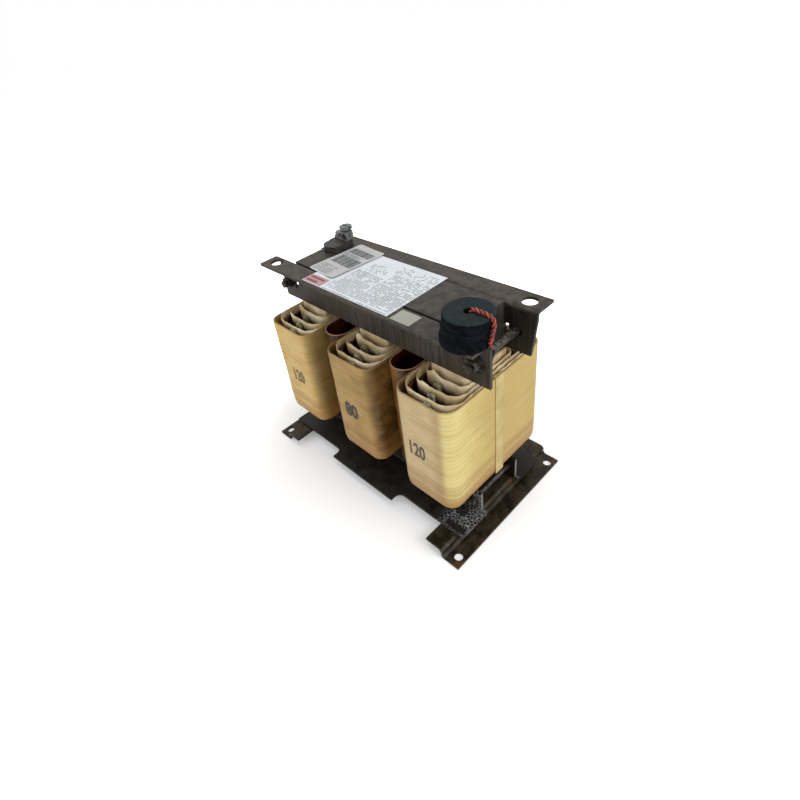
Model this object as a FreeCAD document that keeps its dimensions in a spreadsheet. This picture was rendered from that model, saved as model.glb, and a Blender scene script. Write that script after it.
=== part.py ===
import FreeCAD, Part
import math
import os
import Sketcher

# Three-phase control transformer: core, brackets, feet, three coils, choke rings and fittings.
# Millimetres. X runs along the row of coils, Y from front to back, Z up. The feet stand on Z = 0.

os.makedirs("parts", exist_ok=True)
doc = FreeCAD.newDocument("control_transformer")
V = FreeCAD.Vector

# Driving dimensions: (alias, value, meaning)
SIZES = [
    ("foot_web", 131, "middle to the outer face of a foot's step"),
    ("foot_flange", 19, "step to the outer edge of a foot"),
    ("foot_shelf", 22, "step to the inner edge of a foot"),
    ("foot_reach", 90, "middle to the front end of a foot"),
    ("foot_sheet", 2.5, "sheet thickness of the feet"),
    ("foot_raise", 12.5, "floor to the top of a foot's raised side"),
    ("foot_bend", 2.5, "inner bend radius of the feet"),
    ("mount_out", 11.3, "a foot's step to a mounting hole"),
    ("mount_in", 10.5, "end of a foot to a mounting hole"),
    ("mount_hole", 9, "mounting hole diameter"),
    ("coil_pitch", 99, "coil to coil"),
    ("leg_width", 38, "width of a core leg and of a yoke"),
    ("stack_depth", 56, "depth of the lamination stack"),
    ("window_height", 145.5, "height of the core window"),
    ("sheet", 3, "sheet thickness of the brackets"),
    ("bend_outer", 5, "outer bend radius of the brackets"),
    ("top_drop", 48, "height of a top bracket"),
    ("top_flange", 25.5, "core face to the edge of a top flange"),
    ("top_end", 146, "middle to the end of a top bracket"),
    ("tab_end", 151, "middle to the end of a lifting tab"),
    ("short_end", 131, "middle to the short end of the rear top flange"),
    ("corner_cut", 9, "drop of the rear bracket's cut corner"),
    ("lift_x", 135.5, "middle to a lifting hole along X"),
    ("lift_y", 40.5, "middle to a lifting hole along Y"),
    ("lift_hole", 15, "lifting hole diameter"),
    ("low_rise", 30, "height of a bottom bracket"),
    ("low_flange", 39, "core face to the edge of a bottom flange"),
    ("low_end", 138, "middle to the end of a bottom flange"),
    ("low_leg_end", 133.5, "middle to the end of a bottom bracket's standing leg"),
    ("ear_half", 49.5, "half length of the ear in the middle"),
    ("ear_reach", 13, "how far the ear stands out"),
    ("ear_corner", 7, "radius where the ear leaves the flange"),
    ("slot_x", 124, "middle to a foot slot along X"),
    ("slot_y", 61, "middle to a foot slot along Y"),
    ("slot_length", 24, "foot slot length"),
    ("slot_width", 8, "foot slot width"),
    ("top_rod", 8, "diameter of the top clamp rods"),
    ("top_rod_x", 130.5, "middle to a top rod along X"),
    ("top_rod_drop", 26, "top of the core down to a top rod"),
    ("top_nut", 13, "top nut across flats"),
    ("top_washer", 20, "top washer diameter"),
    ("low_rod", 6, "diameter of the bottom clamp rods"),
    ("low_rod_x", 123.5, "middle to a bottom rod along X"),
    ("low_rod_z", 28, "floor to a bottom rod"),
    ("low_nut", 10, "bottom nut across flats"),
    ("low_washer", 12.5, "bottom washer diameter"),
    ("foot_bolt", 6, "diameter of the bolts that hold the brackets to the feet"),
    ("foot_bolt_x", 119, "middle to a foot bolt along X"),
    ("foot_bolt_y", 42, "middle to a foot bolt along Y"),
    ("foot_nut", 10, "foot bolt head and nut across flats"),
    ("rod_play", 1, "hole diameter over rod diameter"),
    ("slot_play", 10, "length of a rod slot over its width"),
    ("slot_in", 3.5, "a rod's middle to the middle of its slot"),
    ("coil_half_x", 34, "half width of a coil"),
    ("coil_half_y", 72, "half depth of a coil"),
    ("coil_lift", 1.5, "yoke to the bottom of a coil wrap"),
    ("coil_clear", 21.5, "window height over the height of a coil wrap"),
    ("former_play", 0.5, "core leg to the former"),
    ("former_wall", 1.8, "former thickness"),
    ("former_gap", 1, "top brackets down to the former"),
    ("inner_side", 2.7, "inner winding thickness beside the core"),
    ("inner_end", 5.5, "inner winding thickness at the coil's ends"),
    ("middle_side", 2.2, "middle winding thickness beside the core"),
    ("middle_end", 5, "middle winding thickness at the coil's ends"),
    ("outer_side", 3, "outer winding thickness beside the core"),
    ("outer_end", 4, "outer winding thickness at the coil's ends"),
    ("paper", 0.8, "paper collar thickness beside the core"),
    ("paper_end", 1.6, "paper collar thickness at the coil's ends"),
    ("duct_one", 7.2, "air duct outside the inner winding"),
    ("duct_two", 6.8, "air duct outside the middle winding"),
    ("winding_drop", 7, "top of the wrap down to the windings"),
    ("stick_width", 9, "width of a duct stick"),
    ("barrier_half_x", 15.5, "half width of a barrier between coils"),
    ("barrier_half_y", 50, "half depth of a barrier between coils"),
    ("barrier_wall", 1, "barrier thickness"),
    ("barrier_clear", 19.5, "window height over the height of a barrier"),
    ("tape_width", 12, "width of the tie tape"),
    ("tape_thick", 0.6, "thickness of the tie tape"),
    ("choke_x", 128.5, "middle to the lowest choke ring along X"),
    ("choke_shift", 4, "how far the top ring has slid outwards"),
    ("choke_y", 39, "middle to the choke rings along Y"),
    ("choke_outer", 21.4, "outer radius of the choke rings"),
    ("choke_hole", 3.6, "hole radius of the choke rings"),
    ("choke_height", 10, "height of one choke ring"),
    ("choke_edge", 1.6, "rounded edge of a choke ring"),
    ("wire", 2.3, "diameter of a lead wire with its insulation"),
    ("pad_long", 33, "length of the ground pad"),
    ("pad_wide", 24, "width of the ground pad"),
    ("pad_high", 8, "height of the ground pad"),
    ("pad_corner", 9, "corner radius of the ground pad"),
    ("lug_block", 10, "side of the ground lug's block"),
    ("lug_high", 10, "height of the ground lug's block"),
    ("lug_tongue", 2.6, "thickness of the ground lug's tongue"),
    ("lug_screw", 6, "diameter of the ground lug's screw"),
    ("lug_bore", 2.8, "radius of the ground lug's wire hole"),
    ("label_thick", 0.3, "thickness of a label"),
]
sheet = doc.addObject("Spreadsheet::Sheet", "Sizes")
for row, (alias, value, meaning) in enumerate(SIZES, start=1):
    sheet.set("A%d" % row, meaning)
    sheet.set("B%d" % row, str(value))
    sheet.setAlias("B%d" % row, alias)
doc.recompute()
S = {alias: float(value) for alias, value, meaning in SIZES}


def size(text):
    """The value of an expression written with aliases."""
    return float(add_up(text))


def add_up(text):
    """Adds up a sum of aliases, numbers and products, such as 'a + 2 * b - 1'."""
    total = 0.0
    for term in text.replace("-", "+-").split("+"):
        term = term.strip()
        if not term:
            continue
        sign = -1.0 if term.startswith("-") else 1.0
        product = sign
        for factor in term.lstrip("-").split("*"):
            factor = factor.strip()
            product *= S[factor] if factor in S else float(factor)
        total += product
    return total


def twice(text):
    """Every term of an expression doubled."""
    return "2 * " + text.replace(" + ", " + 2 * ").replace(" - ", " - 2 * ")


def less(text, other):
    """The difference of two expressions."""
    return text + " - " + other.replace(" + ", " # ").replace(" - ", " + ").replace(" # ", " - ")


def bound(text):
    """The same expression with every alias taken from the sheet."""
    words = []
    for word in text.replace("-", " - ").replace("+", " + ").replace("*", " * ").split():
        words.append("Sizes." + word if word in S else word)
    return " ".join(words)


# Places that several pieces share
CORE_Y = "0.5 * stack_depth"
YOKE_TOP = "foot_raise + leg_width"
CORE_TOP = "foot_raise + 2 * leg_width + window_height"
CORE_HALF = "coil_pitch + 0.5 * leg_width"
COIL_BOTTOM = YOKE_TOP + " + coil_lift"
COIL_TOP = COIL_BOTTOM + " + window_height - coil_clear"


def place(obj, x="0", y="0", z="0", turn=0):
    """Puts an object at a place given by expressions, turned about Z."""
    obj.Placement = FreeCAD.Placement(V(size(x), size(y), size(z)), FreeCAD.Rotation(V(0, 0, 1), turn))
    for axis, text in (("x", x), ("y", y), ("z", z)):
        if text != "0":
            obj.setExpression("Placement.Base." + axis, bound(text))
    return obj


def new_body(name, x="0", y="0", z="0", turn=0):
    body = doc.addObject("PartDesign::Body", name)
    body.Label = name
    return place(body, x, y, z, turn)


def new_sketch(body, name, role="XY_Plane"):
    """A sketch on one of the body's own origin planes."""
    sketch = body.newObject("Sketcher::SketchObject", name)
    plane = [p for p in body.Origin.OriginFeatures if p.Role == role][0]
    sketch.AttachmentSupport = [(plane, "")]
    sketch.MapMode = "FlatFace"
    return sketch


def dimension(sketch, kind, *where, text):
    """A named dimension that follows the sheet."""
    index = sketch.addConstraint(Sketcher.Constraint(kind, *where, size(text)))
    label = "size_%d" % index
    sketch.renameConstraint(index, label)
    sketch.setExpression("Constraints." + label, bound(text))


def polygon(sketch, points):
    """A closed outline through points given as pairs of expressions, each pinned to the origin."""
    first = sketch.GeometryCount
    spots = [V(size(a), size(b), 0) for a, b in points]
    count = len(points)
    for i in range(count):
        sketch.addGeometry(Part.LineSegment(spots[i], spots[(i + 1) % count]), False)
    for i in range(count):
        sketch.addConstraint(Sketcher.Constraint("Coincident", first + i, 2, first + (i + 1) % count, 1))
    for i in range(count):
        a, b = points[i]
        for kind, text, value in (("DistanceX", a, spots[i].x), ("DistanceY", b, spots[i].y)):
            if abs(value) < 1e-9:
                on_axis = -2 if kind == "DistanceX" else -1
                sketch.addConstraint(Sketcher.Constraint("PointOnObject", first + i, 1, on_axis))
            else:
                dimension(sketch, kind, -1, 1, first + i, 1, text=text)


def rectangle(sketch, x0, y0, x1, y1):
    polygon(sketch, [(x0, y0), (x1, y0), (x1, y1), (x0, y1)])


def circle(sketch, x, y, diameter):
    index = sketch.addGeometry(Part.Circle(V(size(x), size(y), 0), V(0, 0, 1), size(diameter) / 2), False)
    dimension(sketch, "DistanceX", -1, 1, index, 3, text=x)
    dimension(sketch, "DistanceY", -1, 1, index, 3, text=y)
    dimension(sketch, "Diameter", index, text=diameter)


def slot(sketch, x, y, half, radius):
    """A slot along the sketch's X axis: half is from its middle to the centre of an end."""
    cx, cy, h, r = size(x), size(y), size(half), size(radius)
    right = sketch.addGeometry(Part.ArcOfCircle(Part.Circle(V(cx + h, cy, 0), V(0, 0, 1), r), -math.pi / 2, math.pi / 2), False)
    top = sketch.addGeometry(Part.LineSegment(V(cx + h, cy + r, 0), V(cx - h, cy + r, 0)), False)
    left = sketch.addGeometry(Part.ArcOfCircle(Part.Circle(V(cx - h, cy, 0), V(0, 0, 1), r), math.pi / 2, 1.5 * math.pi), False)
    base = sketch.addGeometry(Part.LineSegment(V(cx - h, cy - r, 0), V(cx + h, cy - r, 0)), False)
    for a, b in ((right, top), (top, left), (left, base), (base, right)):
        sketch.addConstraint(Sketcher.Constraint("Tangent", a, 2, b, 1))
    sketch.addConstraint(Sketcher.Constraint("Horizontal", top))
    sketch.addConstraint(Sketcher.Constraint("Equal", right, left))
    dimension(sketch, "Radius", right, text=radius)
    dimension(sketch, "DistanceX", -1, 1, right, 3, text=x + " + " + half)
    dimension(sketch, "DistanceX", -1, 1, left, 3, text=less(x, half))
    dimension(sketch, "DistanceY", -1, 1, right, 3, text=y)


def round_box(sketch, half_x, half_y, radius):
    """A rectangle round the origin with equal rounded corners."""
    w, d, r = size(half_x), size(half_y), size(radius)
    lines, arcs = [], []
    runs = [(V(-w + r, -d), V(w - r, -d)), (V(w, -d + r), V(w, d - r)), (V(w - r, d), V(-w + r, d)), (V(-w, d - r), V(-w, -d + r))]
    centres = [(w - r, -d + r), (w - r, d - r), (-w + r, d - r), (-w + r, -d + r)]
    for i, (start, end) in enumerate(runs):
        lines.append(sketch.addGeometry(Part.LineSegment(start, end), False))
        corner = Part.Circle(V(centres[i][0], centres[i][1], 0), V(0, 0, 1), r)
        turn = (i - 1) * math.pi / 2
        arcs.append(sketch.addGeometry(Part.ArcOfCircle(corner, turn, turn + math.pi / 2), False))
    for i in range(4):
        sketch.addConstraint(Sketcher.Constraint("Tangent", lines[i], 2, arcs[i], 1))
        sketch.addConstraint(Sketcher.Constraint("Tangent", arcs[i], 2, lines[(i + 1) % 4], 1))
        sketch.addConstraint(Sketcher.Constraint("Horizontal" if i % 2 == 0 else "Vertical", lines[i]))
    for i in range(3):
        sketch.addConstraint(Sketcher.Constraint("Equal", arcs[i], arcs[i + 1]))
    sketch.addConstraint(Sketcher.Constraint("Symmetric", lines[0], 1, lines[2], 1, -1, 1))
    dimension(sketch, "DistanceX", lines[3], 1, lines[1], 1, text=twice(half_x))
    dimension(sketch, "DistanceY", lines[0], 1, lines[2], 2, text=twice(half_y))
    dimension(sketch, "Radius", arcs[0], text=radius)


def pad(body, sketch, length, both=False, name="Pad"):
    doc.recompute()
    feature = body.newObject("PartDesign::Pad", name)
    feature.Profile = sketch
    feature.Length = size(length)
    feature.setExpression("Length", bound(length))
    if both:
        feature.Midplane = True
    sketch.Visibility = False
    doc.recompute()
    body.Tip = feature
    return feature


def pocket(body, sketch, name="Pocket"):
    """Cuts a sketch through the whole piece, both ways."""
    doc.recompute()
    before = body.Shape.Volume
    feature = body.newObject("PartDesign::Pocket", name)
    feature.Profile = sketch
    feature.Type = 1
    feature.Midplane = True
    sketch.Visibility = False
    doc.recompute()
    body.Tip = feature
    doc.recompute()
    if body.Shape.Volume >= before - 1e-6:
        raise RuntimeError("nothing cut by " + name + " in " + body.Label)
    return feature


def bend_profile(sketch, reach, height, thick, outer, low):
    """The section of an angle: a standing leg on the Y axis side and a flange, bent with one radius.
    The sketch's X is the distance from the core face and its Y is the height. low puts the flange below."""
    w, h, t, r = size(reach), size(height), size(thick), size(outer)
    k = -1 if low else 1
    inner = r - t
    pts = [V(0, -k * (h - 0)), V(0, -k * r), V(r, 0), V(w, 0), V(w, -k * t), V(r, -k * t), V(t, -k * r), V(t, -k * h)]
    ids = []
    ids.append(sketch.addGeometry(Part.LineSegment(pts[0], pts[1]), False))
    c = V(r, -k * r, 0)
    a0, a1 = (math.pi / 2, math.pi) if k == 1 else (math.pi, 1.5 * math.pi)
    ids.append(sketch.addGeometry(Part.ArcOfCircle(Part.Circle(c, V(0, 0, 1), r), a0, a1), False))
    ids.append(sketch.addGeometry(Part.LineSegment(pts[2], pts[3]), False))
    ids.append(sketch.addGeometry(Part.LineSegment(pts[3], pts[4]), False))
    ids.append(sketch.addGeometry(Part.LineSegment(pts[4], pts[5]), False))
    ids.append(sketch.addGeometry(Part.ArcOfCircle(Part.Circle(c, V(0, 0, 1), inner), a0, a1), False))
    ids.append(sketch.addGeometry(Part.LineSegment(pts[6], pts[7]), False))
    ids.append(sketch.addGeometry(Part.LineSegment(pts[7], pts[0]), False))
    # An arc runs counterclockwise, so its first end is the flange end above and the leg end below.
    at_leg, at_flange = (2, 1) if k == 1 else (1, 2)
    C = Sketcher.Constraint
    sketch.addConstraint(C("Tangent", ids[0], 2, ids[1], at_leg))
    sketch.addConstraint(C("Tangent", ids[1], at_flange, ids[2], 1))
    sketch.addConstraint(C("Coincident", ids[2], 2, ids[3], 1))
    sketch.addConstraint(C("Coincident", ids[3], 2, ids[4], 1))
    sketch.addConstraint(C("Tangent", ids[4], 2, ids[5], at_flange))
    sketch.addConstraint(C("Tangent", ids[5], at_leg, ids[6], 1))
    sketch.addConstraint(C("Coincident", ids[6], 2, ids[7], 1))
    sketch.addConstraint(C("Coincident", ids[7], 2, ids[0], 1))
    sketch.addConstraint(C("PointOnObject", ids[0], 1, -2))
    sketch.addConstraint(C("Vertical", ids[0]))
    sketch.addConstraint(C("PointOnObject", ids[2], 2, -1))
    sketch.addConstraint(C("Horizontal", ids[2]))
    sketch.addConstraint(C("Vertical", ids[3]))
    sketch.addConstraint(C("Horizontal", ids[7]))
    sketch.addConstraint(C("Coincident", ids[1], 3, ids[5], 3))
    dimension(sketch, "Radius", ids[1], text=outer)
    dimension(sketch, "DistanceX", -1, 1, ids[2], 2, text=reach)
    dimension(sketch, "Distance", ids[3], text=thick)
    dimension(sketch, "Distance", ids[7], text=thick)
    text = ("-1 * " if k == 1 else "") + height
    dimension(sketch, "DistanceY", -1, 1, ids[0], 1, text=text)


def beside_ear(sketch, k):
    """The outline cut away beside the ear, with a rounded inner corner. k is 1 on the right and -1 on the left."""
    mirror = "-1 * " if k < 0 else ""
    outer = "-1 * low_end - 1" if k < 0 else "low_end + 1"
    past = "low_flange + ear_reach + 1"
    e, f, r = k * size("ear_half"), size("low_flange"), size("ear_corner")
    far, high = size(outer), size(past)
    low = Part.LineSegment(V(e + k * r, f, 0), V(far, f, 0))
    end = Part.LineSegment(V(far, f, 0), V(far, high, 0))
    top = Part.LineSegment(V(far, high, 0), V(e, high, 0))
    side = Part.LineSegment(V(e, high, 0), V(e, f + r, 0))
    start = math.pi if k > 0 else 1.5 * math.pi
    round_corner = Part.ArcOfCircle(Part.Circle(V(e + k * r, f + r, 0), V(0, 0, 1), r), start, start + math.pi / 2)
    ids = [sketch.addGeometry(g, False) for g in (low, end, top, side, round_corner)]
    C = Sketcher.Constraint
    for a, b in ((0, 1), (1, 2), (2, 3)):
        sketch.addConstraint(C("Coincident", ids[a], 2, ids[b], 1))
    at_side, at_low = (1, 2) if k > 0 else (2, 1)
    sketch.addConstraint(C("Tangent", ids[3], 2, ids[4], at_side))
    sketch.addConstraint(C("Tangent", ids[4], at_low, ids[0], 1))
    for kind, i in (("Horizontal", 0), ("Vertical", 1), ("Horizontal", 2), ("Vertical", 3)):
        sketch.addConstraint(C(kind, ids[i]))
    dimension(sketch, "Radius", ids[4], text="ear_corner")
    dimension(sketch, "DistanceX", -1, 1, ids[3], 1, text=mirror + "ear_half")
    dimension(sketch, "DistanceY", -1, 1, ids[3], 1, text=past)
    dimension(sketch, "DistanceX", -1, 1, ids[0], 2, text=outer)
    dimension(sketch, "DistanceY", -1, 1, ids[0], 2, text="low_flange")


def solid(name, *names):
    """A Part object that holds separate solids as one node."""
    group = doc.addObject("Part::Compound", name)
    group.Label = name
    group.Links = [doc.getObject(n) if isinstance(n, str) else n for n in names]
    doc.recompute()
    return group


def cylinder(name, radius, height, x="0", y="0", z="0", axis="z"):
    obj = doc.addObject("Part::Cylinder", name)
    obj.Radius = size(radius)
    obj.setExpression("Radius", bound(radius))
    obj.Height = size(height)
    obj.setExpression("Height", bound(height))
    place(obj, x, y, z)
    if axis == "y":
        obj.Placement = FreeCAD.Placement(V(size(x), size(y), size(z)), FreeCAD.Rotation(V(1, 0, 0), -90))
        for word, text in (("x", x), ("y", y), ("z", z)):
            if text != "0":
                obj.setExpression("Placement.Base." + word, bound(text))
    return obj


def box(name, length, width, height, x="0", y="0", z="0"):
    """A box that starts at a corner."""
    obj = doc.addObject("Part::Box", name)
    for prop, text in (("Length", length), ("Width", width), ("Height", height)):
        setattr(obj, prop, size(text))
        obj.setExpression(prop, bound(text))
    return place(obj, x, y, z)


def cut(name, base, tool):
    obj = doc.addObject("Part::Cut", name)
    obj.Label = name
    obj.Base = base
    obj.Tool = tool
    doc.recompute()
    return obj


def fuse(name, *parts):
    obj = doc.addObject("Part::MultiFuse", name)
    obj.Label = name
    obj.Shapes = list(parts)
    obj.Refine = True
    doc.recompute()
    return obj


NODES = []


def node(obj):
    NODES.append(obj)
    return obj


# The core: an E of three legs and the bottom yoke, closed by the top yoke
body = new_body("core_e_stack", z="foot_raise")
outline = new_sketch(body, "core_e_outline", "XZ_Plane")
inner_a, inner_b = "coil_pitch - 0.5 * leg_width", "0.5 * leg_width"
rise = "leg_width + window_height"
polygon(outline, [
    ("-1 * coil_pitch - 0.5 * leg_width", "0"), ("coil_pitch + 0.5 * leg_width", "0"),
    ("coil_pitch + 0.5 * leg_width", rise), (inner_a, rise), (inner_a, "leg_width"), (inner_b, "leg_width"),
    (inner_b, rise), ("-0.5 * leg_width", rise), ("-0.5 * leg_width", "leg_width"),
    ("-1 * coil_pitch + 0.5 * leg_width", "leg_width"), ("-1 * coil_pitch + 0.5 * leg_width", rise),
    ("-1 * coil_pitch - 0.5 * leg_width", rise)])
pad(body, outline, "stack_depth", both=True, name="core_e_pad")
node(body)

body = new_body("core_top_yoke", z="foot_raise + leg_width + window_height")
outline = new_sketch(body, "core_yoke_outline", "XZ_Plane")
rectangle(outline, "-1 * coil_pitch - 0.5 * leg_width", "0", "coil_pitch + 0.5 * leg_width", "leg_width")
pad(body, outline, "stack_depth", both=True, name="core_yoke_pad")
node(body)

# Feet: Z-shaped strips under the ends of the bottom brackets
for name, turn in (("foot_right", 0), ("foot_left", 180)):
    body = new_body(name, turn=turn)
    section = new_sketch(body, name + "_section", "XZ_Plane")
    polygon(section, [
        ("foot_web - foot_shelf", "foot_raise - foot_sheet"), ("foot_web - foot_sheet - foot_bend", "foot_raise - foot_sheet"),
        ("foot_web - foot_sheet", "foot_raise - foot_sheet - foot_bend"), ("foot_web - foot_sheet", "foot_sheet"),
        ("foot_web", "0"), ("foot_web + foot_flange", "0"), ("foot_web + foot_flange", "foot_sheet"), ("foot_web + foot_bend", "foot_sheet"),
        ("foot_web", "foot_sheet + foot_bend"), ("foot_web", "foot_raise - foot_sheet"),
        ("foot_web - foot_sheet", "foot_raise"), ("foot_web - foot_shelf", "foot_raise")])
    pad(body, section, "2 * foot_reach", both=True, name=name + "_pad")
    holes = new_sketch(body, name + "_holes")
    circle(holes, "foot_web + mount_out", "foot_reach - mount_in", "mount_hole")
    circle(holes, "foot_web + mount_out", "-1 * foot_reach + mount_in", "mount_hole")
    circle(holes, "foot_bolt_x", "foot_bolt_y", "foot_bolt + rod_play")
    circle(holes, "foot_bolt_x", "-1 * foot_bolt_y", "foot_bolt + rod_play")
    for where in ("slot_y", "-1 * slot_y"):
        rectangle(holes, "slot_x - 0.5 * slot_length", where + " - 0.5 * slot_width",
                  "foot_web - foot_sheet - foot_bend", where + " + 0.5 * slot_width")
    pocket(body, holes, name + "_cuts")
    node(body)

# Top brackets: angles whose flanges stand away from the core, with a lifting tab at one end
for name, turn in (("top_bracket_rear", 0), ("top_bracket_front", 180)):
    side = "0.5 * stack_depth" if turn == 0 else "-0.5 * stack_depth"
    body = new_body(name, y=side, z=CORE_TOP, turn=turn)
    section = new_sketch(body, name + "_section", "YZ_Plane")
    bend_profile(section, "top_flange", "top_drop", "sheet", "bend_outer", low=False)
    pad(body, section, "2 * tab_end", both=True, name=name + "_pad")
    ends = new_sketch(body, name + "_ends", "XZ_Plane")
    rectangle(ends, "-1 * tab_end - 1", "-1 * top_drop - 1", "-1 * top_end", "1")
    if turn == 0:
        polygon(ends, [("top_end", "-1 * top_drop - 1"), ("tab_end + 1", "-1 * top_drop - 1"),
                       ("tab_end + 1", "-2 * bend_outer"), ("tab_end", "-2 * bend_outer")])
    else:
        rectangle(ends, "top_end", "-1 * top_drop - 1", "tab_end + 1", "-1 * sheet")
    pocket(body, ends, name + "_ends_cut")
    if turn == 0:
        corner = new_sketch(body, name + "_corner", "XZ_Plane")
        polygon(corner, [("-1 * top_end - 1", "-1 * bend_outer - corner_cut"), ("-1 * short_end", "-1 * bend_outer"),
                         ("-1 * short_end", "1"), ("-1 * top_end - 1", "1")])
        pocket(body, corner, name + "_corner_cut")
    slots = new_sketch(body, name + "_slots", "XZ_Plane")
    for where in ("top_rod_x - slot_in", "-1 * top_rod_x + slot_in"):
        slot(slots, where, "-1 * top_rod_drop", "0.5 * slot_play", "0.5 * top_rod + 0.5 * rod_play")
    pocket(body, slots, name + "_slots_cut")
    lift = new_sketch(body, name + "_lift")
    circle(lift, "lift_x", "lift_y - 0.5 * stack_depth", "lift_hole")
    pocket(body, lift, name + "_lift_cut")
    node(body)

# Bottom brackets: angles on the feet, with an ear in the middle of each flange
for name, turn in (("bottom_bracket_rear", 0), ("bottom_bracket_front", 180)):
    side = "0.5 * stack_depth" if turn == 0 else "-0.5 * stack_depth"
    body = new_body(name, y=side, z="foot_raise", turn=turn)
    section = new_sketch(body, name + "_section", "YZ_Plane")
    bend_profile(section, "low_flange + ear_reach", "low_rise", "sheet", "bend_outer", low=True)
    pad(body, section, "2 * low_end", both=True, name=name + "_pad")
    trim = new_sketch(body, name + "_trim")
    for k in (1, -1):
        beside_ear(trim, k)
    pocket(body, trim, name + "_trim_cut")
    legs = new_sketch(body, name + "_legs", "XZ_Plane")
    rectangle(legs, "low_leg_end", "bend_outer", "low_end + 1", "low_rise + 1")
    rectangle(legs, "-1 * low_end - 1", "bend_outer", "-1 * low_leg_end", "low_rise + 1")
    pocket(body, legs, name + "_legs_cut")
    slots = new_sketch(body, name + "_slots")
    for k in ("", "-1 * "):
        rectangle(slots, k + "slot_x - 0.5 * slot_length", "slot_y - 0.5 * stack_depth - 0.5 * slot_width",
                  k + "slot_x + 0.5 * slot_length", "slot_y - 0.5 * stack_depth + 0.5 * slot_width")
    pocket(body, slots, name + "_slots_cut")
    holes = new_sketch(body, name + "_rods", "XZ_Plane")
    for where in ("low_rod_x", "-1 * low_rod_x"):
        circle(holes, where, "low_rod_z - foot_raise", "low_rod + rod_play")
    pocket(body, holes, name + "_rods_cut")
    bolts = new_sketch(body, name + "_bolts")
    for k in ("", "-1 * "):
        circle(bolts, k + "foot_bolt_x", "foot_bolt_y - 0.5 * stack_depth", "foot_bolt + rod_play")
    pocket(body, bolts, name + "_bolts_cut")
    node(body)

# Clamp rods outside the ends of the core, with washers and nuts
def rods(label, rod, x, z, stick_out):
    made = []
    length = "stack_depth + 2 * sheet + 2 * " + stick_out
    for k, where in (("right", x), ("left", "-1 * " + x)):
        made.append(cylinder(label + "_rod_" + k, "0.5 * " + rod, length, where,
                             "-0.5 * stack_depth - sheet - " + stick_out, z, axis="y"))
        made[-1].Label = label + "_rod_" + k
        node(made[-1])
    return made


def nut_set(label, rod, flats, disc, x, z):
    """Four hexagon nuts and four washers on a pair of rods."""
    washers, nuts = [], []
    high = "0.8 * " + rod
    washer_t = "0.2 * " + rod
    for i, (kx, ky) in enumerate(((1, -1), (-1, -1), (1, 1), (-1, 1))):
        where = x if kx > 0 else "-1 * " + x
        face = "0.5 * stack_depth + sheet"
        start = face if ky > 0 else "-0.5 * stack_depth - sheet - " + washer_t
        outer = cylinder("%s_washer_disc_%d" % (label, i), "0.5 * " + disc, washer_t, where, start, z, axis="y")
        hole = cylinder("%s_washer_hole_%d" % (label, i), "0.5 * " + rod, washer_t, where, start, z, axis="y")
        washers.append(cut("%s_washer_%d" % (label, i), outer, hole))
        start = face + " + " + washer_t if ky > 0 else "-0.5 * stack_depth - sheet - %s - %s" % (washer_t, high)
        prism = doc.addObject("Part::Prism", "%s_nut_prism_%d" % (label, i))
        prism.Polygon = 6
        prism.Circumradius = size(flats) / math.sqrt(3)
        prism.setExpression("Circumradius", bound(flats) + " / sqrt(3)")
        prism.Height = size(high)
        prism.setExpression("Height", bound(high))
        turn = FreeCAD.Rotation(V(1, 0, 0), -90).multiply(FreeCAD.Rotation(V(0, 0, 1), 12 * (i + 1)))
        prism.Placement = FreeCAD.Placement(V(size(where), size(start), size(z)), turn)
        for word, text in (("x", where), ("y", start), ("z", z)):
            prism.setExpression("Placement.Base." + word, bound(text))
        hole = cylinder("%s_nut_hole_%d" % (label, i), "0.5 * " + rod, high, where, start, z, axis="y")
        nuts.append(cut("%s_nut_%d" % (label, i), prism, hole))
    node(solid(label + "_washers", *washers))
    node(solid(label + "_nuts", *nuts))


TOP_ROD_Z = CORE_TOP + " - top_rod_drop"
rods("top", "top_rod", "top_rod_x", TOP_ROD_Z, "1.5 * top_rod")
nut_set("top", "top_rod", "top_nut", "top_washer", "top_rod_x", TOP_ROD_Z)
rods("bottom", "low_rod", "low_rod_x", "low_rod_z", "1.4 * low_rod")
nut_set("bottom", "low_rod", "low_nut", "low_washer", "low_rod_x", "low_rod_z")

# Bolts from the bottom brackets into the feet: heads on the flange, nuts in the space under the raised side
bolts, nuts = [], []
head_high, nut_high = "0.6 * foot_bolt", "0.8 * foot_bolt"
for i, (kx, ky) in enumerate(((1, -1), (-1, -1), (1, 1), (-1, 1))):
    bx = "foot_bolt_x" if kx > 0 else "-1 * foot_bolt_x"
    by = "foot_bolt_y" if ky > 0 else "-1 * foot_bolt_y"
    under = "foot_raise - foot_sheet - " + nut_high
    pieces = []
    for kind, z, high in (("head", "foot_raise + sheet", head_high), ("nut", under, nut_high)):
        hexagon = doc.addObject("Part::Prism", "foot_%s_hex_%d" % (kind, i))
        hexagon.Polygon = 6
        hexagon.Circumradius = size("foot_nut") / math.sqrt(3)
        hexagon.setExpression("Circumradius", bound("foot_nut") + " / sqrt(3)")
        hexagon.Height = size(high)
        hexagon.setExpression("Height", bound(high))
        place(hexagon, bx, by, z, turn=11 * i)
        pieces.append(hexagon)
    shank = cylinder("foot_shank_%d" % i, "0.5 * foot_bolt", "sheet + foot_sheet + " + nut_high + " + 1", bx, by, under + " - 1")
    bolts.append(fuse("foot_bolt_%d" % i, pieces[0], shank))
    bore = cylinder("foot_nut_bore_%d" % i, "0.5 * foot_bolt", nut_high, bx, by, under)
    nuts.append(cut("foot_nut_%d" % i, pieces[1], bore))
node(solid("foot_bolts", *bolts))
node(solid("foot_nuts", *nuts))

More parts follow.
